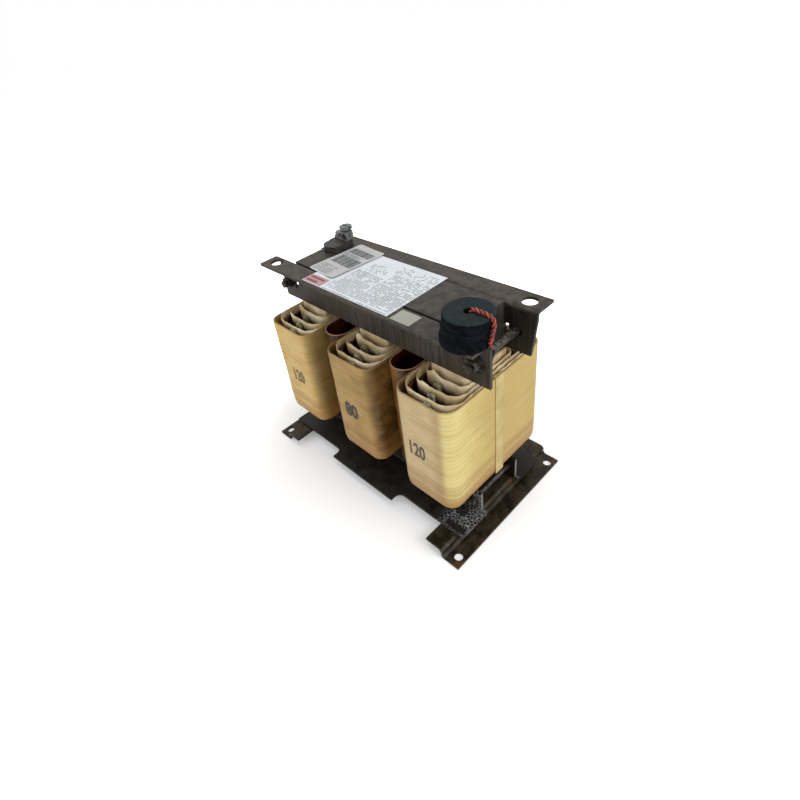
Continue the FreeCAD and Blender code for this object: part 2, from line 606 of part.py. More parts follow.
# Coil layers, from the core outwards: half width, half depth and corner radius of each surface
LAYER = {}
LAYER["former_in"] = ("0.5 * leg_width + former_play", "0.5 * stack_depth + former_play", "1.5")
LAYER["former_out"] = (LAYER["former_in"][0] + " + former_wall", LAYER["former_in"][1] + " + former_wall", "3.3")
LAYER["inner_out"] = (LAYER["former_out"][0] + " + inner_side", LAYER["former_out"][1] + " + inner_end", "8")
LAYER["paper_one"] = (LAYER["inner_out"][0] + " + paper", LAYER["inner_out"][1] + " + paper_end", "9")
LAYER["middle_in"] = (LAYER["paper_one"][0], LAYER["paper_one"][1] + " + duct_one", "11")
LAYER["middle_out"] = (LAYER["middle_in"][0] + " + middle_side", LAYER["middle_in"][1] + " + middle_end", "13")
LAYER["paper_two"] = (LAYER["middle_out"][0] + " + paper", LAYER["middle_out"][1] + " + paper_end", "14")
LAYER["outer_in"] = (LAYER["paper_two"][0], LAYER["paper_two"][1] + " + duct_two", "14")
LAYER["outer_out"] = (LAYER["outer_in"][0] + " + outer_side", LAYER["outer_in"][1] + " + outer_end", "16")
LAYER["paper_three"] = (LAYER["outer_out"][0] + " + paper", LAYER["outer_out"][1] + " + paper_end", "17")
LAYER["wrap_in"] = (LAYER["paper_three"][0], "coil_half_y - 2.6", "12")
LAYER["wrap_out"] = ("coil_half_x", "coil_half_y", "14")


def band(name, inside, outside, x, z, height, keep=True):
    """One closed layer of a coil between two rounded outlines."""
    body = new_body(name, x=x, z=z)
    outline = new_sketch(body, name + "_outline")
    round_box(outline, *LAYER[outside])
    round_box(outline, *LAYER[inside])
    pad(body, outline, height, name=name + "_pad")
    if keep:
        node(body)
    return body


def sticks(name, x):
    """Duct sticks: one in the middle of each air duct, at the front and at the back."""
    made = []
    ducts = (("paper_one", "duct_one"), ("paper_two", "duct_two"), ("paper_three", "last_duct"))
    for i, (layer, gap) in enumerate(ducts):
        near = LAYER[layer][1]
        if gap == "last_duct":
            far = LAYER["wrap_in"][1]
        else:
            far = near + " + " + gap
        wide = size(far) - size(near)
        for j, k in enumerate((-1, 1)):
            stick = doc.addObject("Part::Box", "%s_%d_%d" % (name, i, j))
            depth = bound(far) + " - (" + bound(near) + ")"
            stick.Length = size("stick_width")
            stick.setExpression("Length", bound("stick_width"))
            stick.Width = wide
            stick.setExpression("Width", depth)
            stick.Height = size("window_height - coil_clear - 1")
            stick.setExpression("Height", bound("window_height - coil_clear - 1"))
            shift = (4 - 5 * i) * k
            left = "%s - 0.5 * stick_width + %d" % (x, shift)
            stick.Placement = FreeCAD.Placement(V(size(left), size(near) if k > 0 else -size(far), size(COIL_BOTTOM)),
                                                FreeCAD.Rotation())
            stick.setExpression("Placement.Base.x", bound(left))
            stick.setExpression("Placement.Base.y", bound(near) if k > 0 else "-(" + bound(far) + ")")
            stick.setExpression("Placement.Base.z", bound(COIL_BOTTOM))
            made.append(stick)
    node(solid(name, *made))


WINDING_BOTTOM = COIL_BOTTOM + " + 2"
for number, where in ((1, "-1 * coil_pitch"), (2, "0"), (3, "coil_pitch")):
    coil = "coil_%d_" % number
    band(coil + "former", "former_in", "former_out", where, YOKE_TOP, "window_height + leg_width - top_drop - former_gap")
    band(coil + "inner_winding", "former_out", "inner_out", where, WINDING_BOTTOM, "window_height - coil_clear - 2 - winding_drop + 2")
    band(coil + "middle_winding", "middle_in", "middle_out", where, WINDING_BOTTOM, "window_height - coil_clear - 2 - winding_drop + 1")
    band(coil + "outer_winding", "outer_in", "outer_out", where, WINDING_BOTTOM, "window_height - coil_clear - 2 - winding_drop")
    collars = [
        band(coil + "collar_1", "inner_out", "paper_one", where, COIL_BOTTOM, "window_height - coil_clear + 4", keep=False),
        band(coil + "collar_2", "middle_out", "paper_two", where, COIL_BOTTOM, "window_height - coil_clear + 2", keep=False),
        band(coil + "collar_3", "outer_out", "paper_three", where, COIL_BOTTOM, "window_height - coil_clear + 1", keep=False)]
    node(solid(coil + "collars", *collars))
    sticks(coil + "duct_sticks", where)
    band(coil + "wrap", "wrap_in", "wrap_out", where, COIL_BOTTOM, "window_height - coil_clear")

# Barriers between the coils: tall flattened tubes that stand on the bottom yoke
for name, where in (("barrier_left", "-0.5 * coil_pitch"), ("barrier_right", "0.5 * coil_pitch")):
    body = new_body(name, x=where, z=YOKE_TOP)
    outline = new_sketch(body, name + "_outline")
    round_box(outline, "barrier_half_x", "barrier_half_y", "barrier_half_x - 0.05")
    round_box(outline, "barrier_half_x - barrier_wall", "barrier_half_y - barrier_wall",
              "barrier_half_x - barrier_wall - 0.05")
    pad(body, outline, "window_height - barrier_clear", name=name + "_pad")
    node(body)

# Tie tape down the outer side of the right coil, folded over its rim
tape_x = "coil_pitch + coil_half_x"
long_side = box("tape_side", "tape_thick", "tape_width", "window_height - coil_clear + tape_thick", tape_x, "-0.5 * tape_width", COIL_BOTTOM)
wrap_wall = less("coil_half_x", LAYER["wrap_in"][0])
over_top = box("tape_fold", wrap_wall, "tape_width", "tape_thick", less(tape_x, wrap_wall), "-0.5 * tape_width", COIL_TOP)
node(fuse("coil_3_tape", long_side, over_top))

# Choke: three black rings on the front right corner, not quite in line
RING_PLACES = ("choke_x", "choke_x + 0.5 * choke_shift", "choke_x + choke_shift")
for i, name in enumerate(("choke_ring_lower", "choke_ring_middle", "choke_ring_upper")):
    z = CORE_TOP + " + %d * choke_height" % i
    disc = cylinder(name + "_disc", "choke_outer", "choke_height", RING_PLACES[i], "-1 * choke_y", z)
    doc.recompute()
    rounded = doc.addObject("Part::Chamfer", name + "_edges")
    rounded.Base = disc
    rims = [n for n, e in enumerate(disc.Shape.Edges, start=1) if e.Closed and len(e.Vertexes) == 1]
    rounded.Edges = [(n, size("choke_edge"), size("choke_edge")) for n in rims]
    hole = cylinder(name + "_hole", "choke_hole", "choke_height", RING_PLACES[i], "-1 * choke_y", z)
    node(cut(name, rounded, hole))

# The twisted pair that goes up through the choke, over its rim and down to the right coil
cx, cy, top = S["choke_x"], -S["choke_y"], size(CORE_TOP)
shift = S["choke_shift"]
crown = top + 3 * S["choke_height"]
low_out = cx + 0.5 * shift + S["choke_outer"] + S["wire"] + 0.15
out = cx + shift + S["choke_outer"] + S["wire"] + 0.15
rod_z = size(TOP_ROD_Z)
flange_out = S["top_end"] + S["wire"] + 0.3
end_x = S["coil_pitch"] + size(LAYER["outer_in"][0]) + S["outer_side"] / 2
end_z = size(WINDING_BOTTOM + " + window_height - coil_clear - 2 - winding_drop")
leg_y = -size("0.5 * stack_depth")
route = [V(cx + 2.6, cy, top + 13), V(cx + 3, cy, top + 20), V(cx + shift - 0.4, cy, crown - 2),
         V(cx + shift + 1.4, cy + 0.2, crown + 2.4), V(cx + shift + 6, cy + 0.6, crown + 4),
         V(out - 6, cy + 1.4, crown + 3.8), V(out, cy + 2.2, crown - 0.6), V(out, cy + 2.6, crown - 7),
         V(out - 1, cy + 3, top + 18), V(low_out + 0.4, cy + 3.6, top + 11), V(low_out, cy + 5, top + 4),
         V(flange_out + 1.2, leg_y - 3, top - 2), V(flange_out, leg_y + 1.5, top - 7),
         V(flange_out - 4.6, leg_y + 6, top - 13), V(flange_out - 8.6, leg_y + 8.5, rod_z + 4),
         V(end_x + 6.4, leg_y + 11, rod_z - 8), V(end_x + 2, leg_y + 14.5, rod_z - 17), V(end_x, leg_y + 15, rod_z - 26),
         V(end_x, leg_y + 15, rod_z - 34), V(end_x, leg_y + 15, end_z + 0.1)]
spine = Part.BSplineCurve()
spine.interpolate(route)
length = spine.length()
steps = 110
SIDES = 6
frames = []
side = V(0, 1, 0)
for i in range(steps + 1):
    t = spine.parameterAtDistance(length * i / steps)
    along = spine.tangent(t)[0]
    side = side - along * side.dot(along)
    side.normalize()
    frames.append((spine.value(t), side, along.cross(side)))
still = 0.8
last_side, last_over = frames[-1][1], frames[-1][2]
phase = math.atan2(V(0, 1, 0).dot(last_over), V(0, 1, 0).dot(last_side))
turns = 14
strands = []
for k in (0, 1):
    points = []
    for i, (spot, a, b) in enumerate(frames):
        share = min(i / steps, still) / still
        angle = phase + math.pi * k - 2 * math.pi * turns * (1 - share)
        points.append(spot + (a * math.cos(angle) + b * math.sin(angle)) * (0.5 * S["wire"] + 0.12))
    sections = []
    for i, spot in enumerate(points):
        along = points[min(i + 1, steps)] - points[max(i - 1, 0)]
        along.normalize()
        a = frames[i][1] - along * frames[i][1].dot(along)
        a.normalize()
        b = along.cross(a)
        corners = []
        for n in range(SIDES):
            turn = 2 * math.pi * (n + 0.5) / SIDES
            corners.append(spot + (a * math.cos(turn) + b * math.sin(turn)) * (0.5 * S["wire"]))
        sections.append(Part.makePolygon(corners + corners[:1]))
    strands.append(Part.makeLoft(sections, True, True))
lead = doc.addObject("Part::Feature", "choke_lead")
lead.Label = "choke_lead"
lead.Shape = Part.makeCompound(strands)
node(lead)

# Ground lug on its pad at the left rear corner
pad_x, pad_y = "-114", "6"
block = box("ground_pad_block", "pad_wide", "pad_long", "pad_high", pad_x, pad_y, CORE_TOP)
doc.recompute()
ground = doc.addObject("Part::Fillet", "ground_pad")
ground.Label = "ground_pad"
ground.Base = block
uprights = [n for n, e in enumerate(block.Shape.Edges, start=1) if abs(e.Vertexes[0].Z - e.Vertexes[-1].Z) > 1]
ground.Edges = [(n, size("pad_corner"), size("pad_corner")) for n in uprights]
node(ground)
PAD_TOP = CORE_TOP + " + pad_high"
lug_x, lug_y = "-97.5", "33"
half = "0.5 * lug_block"
left, front = less(lug_x, half), less(lug_y, half)
stem_x = "-109.6"
tongue = box("lug_tongue", "17", "lug_block", "lug_tongue", "-114.5", front, PAD_TOP)
barrel = box("lug_barrel", "lug_block", "lug_block", "lug_high", left, front, PAD_TOP)
screw_hole = cylinder("lug_screw_hole", "0.5 * lug_screw", "lug_high", lug_x, lug_y, PAD_TOP + " + 0.5 * lug_high")
wire_hole = cylinder("lug_wire_hole", "lug_bore", "lug_block + 2", lug_x, front + " - 1", PAD_TOP + " + 0.5 * lug_high", axis="y")
stem_hole = cylinder("lug_stem_hole", "0.5 * foot_bolt", "lug_tongue", stem_x, lug_y, PAD_TOP)
node(cut("ground_lug", fuse("lug_metal", tongue, barrel), fuse("lug_holes", screw_hole, wire_hole, stem_hole)))
shank = cylinder("lug_shank", "0.5 * lug_screw", "0.3 * lug_high + 1", lug_x, lug_y, PAD_TOP + " + 0.8 * lug_high")
neck = doc.addObject("Part::Cone", "lug_screw_neck")
neck.Radius1 = 3.8
neck.Radius2 = 7.2
neck.Height = 2.6
place(neck, lug_x, lug_y, PAD_TOP + " + lug_high")
head = cylinder("lug_screw_head", "7.2", "3", lug_x, lug_y, PAD_TOP + " + lug_high + 2.6")
groove = box("lug_screw_groove", "16", "1.6", "1.6", "-105.5", "32.2", PAD_TOP + " + lug_high + 4")
node(cut("ground_lug_screw", fuse("lug_screw_metal", shank, neck, head), groove))
bolt_hex = doc.addObject("Part::Prism", "ground_bolt_hex")
bolt_hex.Polygon = 6
bolt_hex.Circumradius = 5.8
bolt_hex.Height = 4
place(bolt_hex, stem_x, lug_y, PAD_TOP + " + lug_tongue", turn=8)
stem = cylinder("ground_bolt_stem", "0.5 * foot_bolt", "lug_tongue", stem_x, lug_y, PAD_TOP)
node(fuse("ground_bolt", bolt_hex, stem))

# Labels on top, bare
node(box("rating_label", "125", "84", "label_thick", "-76", "-50.5", CORE_TOP)).Label = "rating_label"
node(box("tracking_label", "44.5", "71", "label_thick", "-89.5", "-31", CORE_TOP + " + label_thick")).Label = "tracking_label"
node(box("mark_label", "23", "17", "label_thick", "53.5", "-51", CORE_TOP)).Label = "mark_label"

doc.recompute()
bad = [o.Name for o in doc.Objects if "Invalid" in o.State or "Error" in o.State]
if bad:
    raise RuntimeError("objects in error: " + ", ".join(bad))
for obj in NODES:
    shape = obj.Shape
    if shape.isNull() or not shape.isValid() or shape.Volume <= 0:
        raise RuntimeError("bad shape: " + obj.Label)
    shape.exportStep("parts/%s.step" % obj.Label)
print(len(NODES), "nodes written")
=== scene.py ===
# %% [markdown]
# # A three-coil control transformer
# The solids of this part come from CAD and arrive here as a fixed frame. Blender adds what a machine shop
# can't draw: ribbed paper on the coils, curled labels, twisted wires, threads, varnish, rust and light.
# Everything is in metres. X runs along the row of coils, -Y is the front and Z is up.

# %% Load the frame
import math
import random
import bmesh
import bpy
from mathutils import Matrix, Vector, noise


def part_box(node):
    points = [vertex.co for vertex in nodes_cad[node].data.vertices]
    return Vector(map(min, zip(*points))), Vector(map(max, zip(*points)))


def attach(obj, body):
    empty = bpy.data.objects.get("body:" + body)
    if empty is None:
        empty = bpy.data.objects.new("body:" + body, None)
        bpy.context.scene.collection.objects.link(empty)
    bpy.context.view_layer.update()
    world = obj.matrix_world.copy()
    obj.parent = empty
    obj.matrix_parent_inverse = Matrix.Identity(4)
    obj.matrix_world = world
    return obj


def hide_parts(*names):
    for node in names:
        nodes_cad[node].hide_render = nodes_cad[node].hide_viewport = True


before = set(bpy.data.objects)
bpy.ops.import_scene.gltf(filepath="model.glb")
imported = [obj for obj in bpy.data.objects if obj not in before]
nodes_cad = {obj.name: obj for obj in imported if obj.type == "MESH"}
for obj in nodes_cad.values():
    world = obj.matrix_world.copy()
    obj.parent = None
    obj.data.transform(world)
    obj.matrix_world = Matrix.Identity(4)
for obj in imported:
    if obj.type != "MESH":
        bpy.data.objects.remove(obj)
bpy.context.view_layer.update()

MM = 0.001

# %% [markdown]
# ## A small kit for finishes
# Each finish is a node tree on the Principled shader. All patterns read Object coordinates. Every object here
# sits at the origin, so those coordinates are the real place on the transformer in metres, and a drip or a
# stain runs on from one piece to the next. The helpers below keep each finish to a few readable lines.

# %% Helpers for nodes
class Wiring:
    """Adds nodes to a tree and joins them."""

    def __init__(self, tree):
        self.tree = tree
        tree.nodes.clear()

    def join(self, source, target):
        self.tree.links.new(source, target)

    def feed(self, socket, value):
        """Joins a socket or sets a plain value."""
        if isinstance(value, bpy.types.NodeSocket):
            self.join(value, socket)
        elif isinstance(value, tuple) and len(value) == 3 and socket.type == "RGBA":
            socket.default_value = (*value, 1.0)
        else:
            socket.default_value = value

    def node(self, kind, inputs=None, **settings):
        """A new node with its settings, then its inputs by name or number."""
        made = self.tree.nodes.new(kind)
        for key, value in settings.items():
            setattr(made, key, value)
        for key, value in (inputs or {}).items():
            self.feed(made.inputs[key], value)
        return made

    def math(self, operation, a, b=0.0):
        return self.node("ShaderNodeMath", {0: a, 1: b}, operation=operation).outputs[0]

    def plus(self, a, b):
        return self.math("ADD", a, b)

    def less(self, a, b):
        return self.math("SUBTRACT", a, b)

    def times(self, a, b):
        return self.math("MULTIPLY", a, b)

    def over(self, a, b):
        return self.math("DIVIDE", a, b)

    def length(self, a, b):
        """The long side of a right-angled triangle."""
        return self.math("SQRT", self.plus(self.times(a, a), self.times(b, b)))

    def split(self, vector):
        """The X, Y and Z of a vector."""
        made = self.node("ShaderNodeSeparateXYZ", {"Vector": vector})
        return [made.outputs[axis] for axis in "XYZ"]

    def vector(self, x=0.0, y=0.0, z=0.0):
        return self.node("ShaderNodeCombineXYZ", {"X": x, "Y": y, "Z": z}).outputs[0]


print("node helpers ready")

# %% Helpers for finishes
class Finish(Wiring):
    """One material: a Principled shader with helpers that add nodes and join them."""

    def __init__(self, name, roughness=0.5, metallic=0.0, coat=0.0, coat_roughness=0.2, specular=0.5):
        self.material = bpy.data.materials.new(name)
        self.material.use_nodes = True
        super().__init__(self.material.node_tree)
        self.shader = self.node("ShaderNodeBsdfPrincipled", {
            "Roughness": roughness, "Metallic": metallic, "Coat Weight": coat, "Coat Roughness": coat_roughness,
            "Specular IOR Level": specular})
        self.node("ShaderNodeOutputMaterial", {"Surface": self.shader.outputs["BSDF"]})
        self.coords = self.node("ShaderNodeTexCoord").outputs["Object"]
        self.x, self.y, self.z = self.split(self.coords)

    def stretched(self, scale, place=(0, 0, 0)):
        """Object coordinates scaled along each axis: a big number makes a pattern fine along that axis."""
        scale = scale if isinstance(scale, tuple) else (scale,) * 3
        return self.node("ShaderNodeMapping", {"Vector": self.coords, "Scale": scale, "Location": place}).outputs[0]

    def grain(self, scale, detail=3.0, roughness=0.55, place=(0, 0, 0)):
        """Noise between 0 and 1. The scale is one number, or one for each axis."""
        return self.node("ShaderNodeTexNoise", {
            "Vector": self.stretched(scale, place), "Scale": 1.0, "Detail": detail,
            "Roughness": roughness}).outputs["Fac"]

    def ramp(self, value, low, high, to_low=0.0, to_high=1.0):
        """Smooth step from to_low at low to to_high at high."""
        return self.node("ShaderNodeMapRange", {
            "Value": value, "From Min": low, "From Max": high, "To Min": to_low, "To Max": to_high},
            interpolation_type="SMOOTHSTEP").outputs["Result"]

    def mix(self, share, a, b):
        return self.node("ShaderNodeMix", {0: share, 6: a, 7: b}, data_type="RGBA").outputs[2]

    def colour(self, value):
        self.feed(self.shader.inputs["Base Color"], value)

    def rough(self, value):
        self.feed(self.shader.inputs["Roughness"], value)

    def bump(self, height, strength=0.5, distance=0.0005):
        made = self.node("ShaderNodeBump", {"Height": height, "Strength": strength, "Distance": distance})
        self.join(made.outputs["Normal"], self.shader.inputs["Normal"])

    def mottle(self, scale, detail, edges, first, second, relief, share=1.0, roughness=0.55):
        """Two tones with a noise between them, and a relief from the same noise, which comes back."""
        cloud = self.grain(scale, detail, roughness)
        self.colour(self.mix(self.ramp(cloud, *edges, 0.0, share), first, second))
        self.bump(cloud, *relief)
        return cloud

    def facing_up(self):
        """The upward share of the surface's own normal."""
        return self.split(self.node("ShaderNodeNewGeometry").outputs["Normal"])[2]


def mottled(name, *pattern, share=1.0, **shader):
    """A finish that is one mottle and no more."""
    f = Finish(name, **shader)
    f.mottle(*pattern, share)
    return f


print("finish helpers ready")

# %% [markdown]
# ## A small kit for meshes
# Most pieces here are rings of points that follow one another: a turned ring, a wire, a stick, a bar of ink.
# One helper joins such rings and caps the ends, and another turns every face outwards, so that each piece is a
# closed solid. The last one puts the mesh in the scene, hangs it on the transformer's body and hides the CAD
# pieces it stands for.

# %% Helpers for meshes
def dress(obj, finish):
    """Gives an object one finish."""
    obj.data.materials.clear()
    obj.data.materials.append(finish.material)


def smooth(mesh):
    mesh.polygons.foreach_set("use_smooth", [True] * len(mesh.polygons))


def face_outwards(mesh):
    """Turns the faces of a closed mesh outwards."""
    work = bmesh.new()
    work.from_mesh(mesh)
    bmesh.ops.recalc_face_normals(work, faces=work.faces)
    if work.calc_volume(signed=True) < 0:
        bmesh.ops.reverse_faces(work, faces=work.faces)
    work.to_mesh(mesh)
    work.free()


def lofted(name, rings, closed=False, soft=True):
    """A closed mesh from rings of points that follow one another. One that doesn't meet itself is capped."""
    count, faces = len(rings[0]), []
    for i in range(len(rings) if closed else len(rings) - 1):
        here, there = i * count, (i + 1) % len(rings) * count
        for k in range(count):
            after = (k + 1) % count
            faces.append((here + k, here + after, there + after, there + k))
    if not closed:
        faces.append(tuple(range(count))[::-1])
        faces.append(tuple((len(rings) - 1) * count + k for k in range(count)))
    mesh = bpy.data.meshes.new(name)
    mesh.from_pydata([point for ring in rings for point in ring], [], faces)
    if soft:
        smooth(mesh)
    face_outwards(mesh)
    return mesh


def join_meshes(name, meshes):
    """One mesh from several, which it takes up."""
    work = bmesh.new()
    for mesh in meshes:
        work.from_mesh(mesh)
        bpy.data.meshes.remove(mesh)
    joined = bpy.data.meshes.new(name)
    work.to_mesh(joined)
    work.free()
    return joined


def put(name, data):
    """Puts data in the scene as an object."""
    obj = bpy.data.objects.new(name, data)
    bpy.context.scene.collection.objects.link(obj)
    return obj


def made_plain(carrier):
    """The plain mesh that an object evaluates to. The object itself is taken away again."""
    mesh = bpy.data.meshes.new_from_object(carrier.evaluated_get(bpy.context.evaluated_depsgraph_get()))
    bpy.data.objects.remove(carrier)
    return mesh


def middle_of(low, high):
    """The middle of the box between two corners."""
    return [(a + b) / 2 for a, b in zip(low, high)]


def add_piece(name, mesh, finish, stands_for=()):
    """Puts a mesh in the scene as a piece that rides with the transformer."""
    obj = put(name, mesh)
    dress(obj, finish)
    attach(obj, "root")
    if stands_for:
        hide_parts(*stands_for)
    return obj


print("mesh helpers ready")

# %% [markdown]
# ## Steel
# The brackets are dark sheet steel that was dipped in varnish after assembly. On upright faces the varnish ran
# down and dried in fine vertical drips; on flat faces it pooled in cloudy patches. The mask between the two
# comes from the surface's own normal. The feet are the same steel, browner, with rust along the edges.

# %% Bracket, core and foot steel
def drips(f, fine=420.0, long=14.0):
    """Runs of varnish down upright faces, cloudy patches on flat ones."""
    flat = f.ramp(f.math("ABSOLUTE", f.facing_up()), 0.4, 0.8)
    run = f.grain((fine, fine, long), detail=4.0, roughness=0.7)
    cloud = f.grain(90.0, detail=5.0, roughness=0.65)
    return f.node("ShaderNodeMix", {0: flat, 2: run, 3: cloud}, data_type="FLOAT").outputs[0]


LEG_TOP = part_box("top_bracket_rear")[1][2]


def bracket_steel():
    """Dark varnished sheet, with grey crinkled varnish at the front right foot of the frame. Painted shade darkens
    the steel under the coils and the rear bracket below its top, and a painted highlight lights the bottom legs' end
    edges.
    """
    f = Finish("varnished_steel", roughness=0.55, metallic=0.1, coat=0.06, coat_roughness=0.4, specular=0.22)
    pattern = drips(f)
    tone = f.mix(f.ramp(pattern, 0.36, 0.64), (0.020, 0.017, 0.013), (0.072, 0.060, 0.046))
    patches = f.grain(22.0, detail=3.0, place=(3.1, 0.4, 1.7))
    tone = f.mix(f.ramp(patches, 0.50, 0.72, 0.0, 0.5), tone, (0.078, 0.050, 0.026))
    # Painted shade: steel low down, under the coils, is darkened almost to black. The same mask keeps the crinkle
    # low.
    low = f.ramp(f.z, 0.035, 0.060, 1.0, 0.0)
    tone = f.mix(f.times(low, 0.74), tone, (0.008, 0.007, 0.006))
    # Painted shade: steel at the rear, below the top of the rear bracket, is darkened.
    rear = f.times(f.ramp(f.y, 0.010, 0.020), f.ramp(f.z, LEG_TOP - 0.0025, LEG_TOP - 0.0015, 1.0, 0.0))
    tone = f.mix(f.times(rear, 0.60), tone, (0.006, 0.005, 0.003))
    cells = f.node("ShaderNodeTexVoronoi", {"Vector": f.stretched(290.0), "Scale": 1.0},
                   feature="DISTANCE_TO_EDGE")
    wrinkle = f.ramp(cells.outputs["Distance"], 0.01, 0.11, 1.0, 0.0)
    corner = f.times(f.ramp(f.x, 0.100, 0.110), f.ramp(f.y, -0.0275, -0.0295))
    corner = f.times(corner, f.times(f.ramp(f.y, -0.066, -0.056, 0.45, 1.0), low))
    tone = f.mix(f.times(corner, wrinkle), tone, (0.330, 0.345, 0.350))
    # Painted highlight: light grey on the end edges of the bottom brackets' legs.
    ends = f.times(f.ramp(f.math("ABSOLUTE", f.x), 0.1330, 0.1334), f.ramp(f.z, 0.0165, 0.0185))
    tone = f.mix(f.times(f.times(ends, low), 0.8), tone, (0.22, 0.22, 0.21))
    f.colour(tone)
    f.rough(f.ramp(pattern, 0.3, 0.7, 0.40, 0.62))
    f.bump(f.plus(pattern, f.times(f.times(corner, wrinkle), 2.0)), 0.35, 0.0005)
    return f


def core_steel():
    f = Finish("laminated_steel", roughness=0.55, metallic=0.1, coat=0.05, coat_roughness=0.4, specular=0.22)
    sheet_edges = f.math("SINE", f.times(f.y, 2 * math.pi / (0.7 * MM)))
    pattern = drips(f, 300.0, 30.0)
    tone = f.mix(f.ramp(pattern, 0.34, 0.66), (0.030, 0.026, 0.022), (0.075, 0.066, 0.055))
    tone = f.mix(f.ramp(sheet_edges, -0.9, 0.5, 0.45, 0.0), tone, (0.014, 0.011, 0.009))
    f.colour(tone)
    f.bump(f.plus(sheet_edges, pattern), 0.3, 0.0002)
    return f


def foot_steel():
    f = Finish("brown_steel", roughness=0.5, metallic=0.1, coat=0.04, coat_roughness=0.4, specular=0.16)
    cloud = f.grain(70.0, detail=6.0, roughness=0.7)
    tone = f.mix(f.ramp(cloud, 0.35, 0.65), (0.010, 0.007, 0.004), (0.048, 0.036, 0.020))
    rust = f.ramp(f.grain((55.0, 38.0, 55.0), detail=6.0, roughness=0.75, place=(0.0, 2.0, 5.0)), 0.52, 0.68)
    tone = f.mix(f.times(rust, 0.7), tone, (0.105, 0.045, 0.011))
    f.colour(tone)
    f.rough(f.ramp(rust, 0.0, 1.0, 0.32, 0.70))
    f.bump(cloud, 0.4, 0.0005)
    return f


STEEL = bracket_steel()
CORE = core_steel()
FOOT = foot_steel()
for name in ("top_bracket_front", "top_bracket_rear", "bottom_bracket_front", "bottom_bracket_rear"):
    dress(nodes_cad[name], STEEL)
for name in ("core_e_stack", "core_top_yoke"):
    dress(nodes_cad[name], CORE)
for name in ("foot_left", "foot_right"):
    dress(nodes_cad[name], FOOT)
print("steel finished")

# %% [markdown]
# ## Fastenings
# The nuts and rods were plated once and then dipped too, so most of them are dull and brown in the corners.
# The ground lug at the rear was fitted later and is still pale zinc.

# %% Fastening finishes
def plated(name, light, dark, roughness):
    f = Finish(name, roughness=roughness, metallic=0.85)
    cloud = f.mottle(260.0, 5.0, (0.35, 0.65), dark, light, (0.25, 0.0003), roughness=0.7)
    f.rough(f.ramp(cloud, 0.3, 0.7, roughness - 0.1, roughness + 0.15))
    return f


DULL = plated("dipped_hardware", (0.11, 0.10, 0.085), (0.022, 0.018, 0.014), 0.45)
ZINC = plated("pale_zinc", (0.27, 0.28, 0.28), (0.085, 0.085, 0.085), 0.5)
for name, obj in nodes_cad.items():
    if name.startswith(("top_rod", "bottom_rod", "top_nuts", "bottom_nuts", "top_washers", "bottom_washers",
                        "foot_bolts", "foot_nuts")):
        dress(obj, DULL)
    if name in ("ground_lug", "ground_lug_screw", "ground_bolt"):
        dress(obj, ZINC)

# The ground pad is dark varnish; the same dark finish in the front right slot is painted shade.
PAD_AND_SLOT_SHADE = mottled("dark_varnish_and_slot_shade", 120.0, 5.0, (0.3, 0.7), (0.010, 0.009, 0.007), (0.036, 0.032, 0.026), (0.4, 0.0006),
              roughness=0.5, coat=0.1, coat_roughness=0.3, specular=0.25)
dress(nodes_cad["ground_pad"], PAD_AND_SLOT_SHADE)
print("fastenings finished")

# %% [markdown]
# Varnish dried as a skin across three of the four slots at the ends of the frame and closes them level with the
# flange. In the slot at the front right a dark sheet lies low on the foot; its colour is painted shade in the recess.

# %% Varnish in the slots
SLOT_X, SLOT_Y, SLOT_LONG, SLOT_WIDE = 124 * MM, 61 * MM, 24 * MM, 8 * MM
SHEET, SKIN, SKIN_GAP, SKIN_SIDE_GAP = 3 * MM, 0.4 * MM, 0.03 * MM, 0.02 * MM
foot_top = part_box("foot_right")[1][2]


def slab(name, low, high):
    """A plain block between two corners."""
    around = ((low[0], low[1]), (high[0], low[1]), (high[0], high[1]), (low[0], high[1]))
    return lofted(name, [[(x, y, z) for x, y in around] for z in (low[2], high[2])], soft=False)


half_x, half_y = SLOT_LONG / 2 - SKIN_SIDE_GAP, SLOT_WIDE / 2 - SKIN_SIDE_GAP
for kx, ky in ((-1, -1), (-1, 1), (1, -1), (1, 1)):
    # The sunk skin is a dark sheet whose colour is painted shade in the recess.
    sunk = (kx, ky) == (1, -1)
    x, y, z = kx * SLOT_X, ky * SLOT_Y, foot_top + (SKIN_GAP if sunk else SHEET - SKIN - SKIN_GAP)
    name = "slot_skin_%s_%s" % ("rear" if ky > 0 else "front", "right" if kx > 0 else "left")
    skin = slab(name, (x - half_x, y - half_y, z), (x + half_x, y + half_y, z + SKIN))
    add_piece(name, skin, PAD_AND_SLOT_SHADE if sunk else STEEL)
print("slots closed at", round(foot_top, 4))

# %% [markdown]
# ## Paper and varnish
# Each coil is wound in layers. The outer wrap is cream paper tape, laid in overlapping rings, so it shows fine
# level ribs. The whole coil was dipped in amber varnish, which soaked in at the foot and between the coils. The
# sides between the coils are darker partly from that varnish and partly as painted shade, and the end of the
# right coil that faces out carries painted light. The finish mixes cream and amber by height and by noise, and
# darkens the groove between two rings.

# %% Paper finishes
RIB = 5.2 * MM
WRAP_LOW, WRAP_HIGH = (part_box("coil_3_wrap")[k][2] for k in (0, 1))


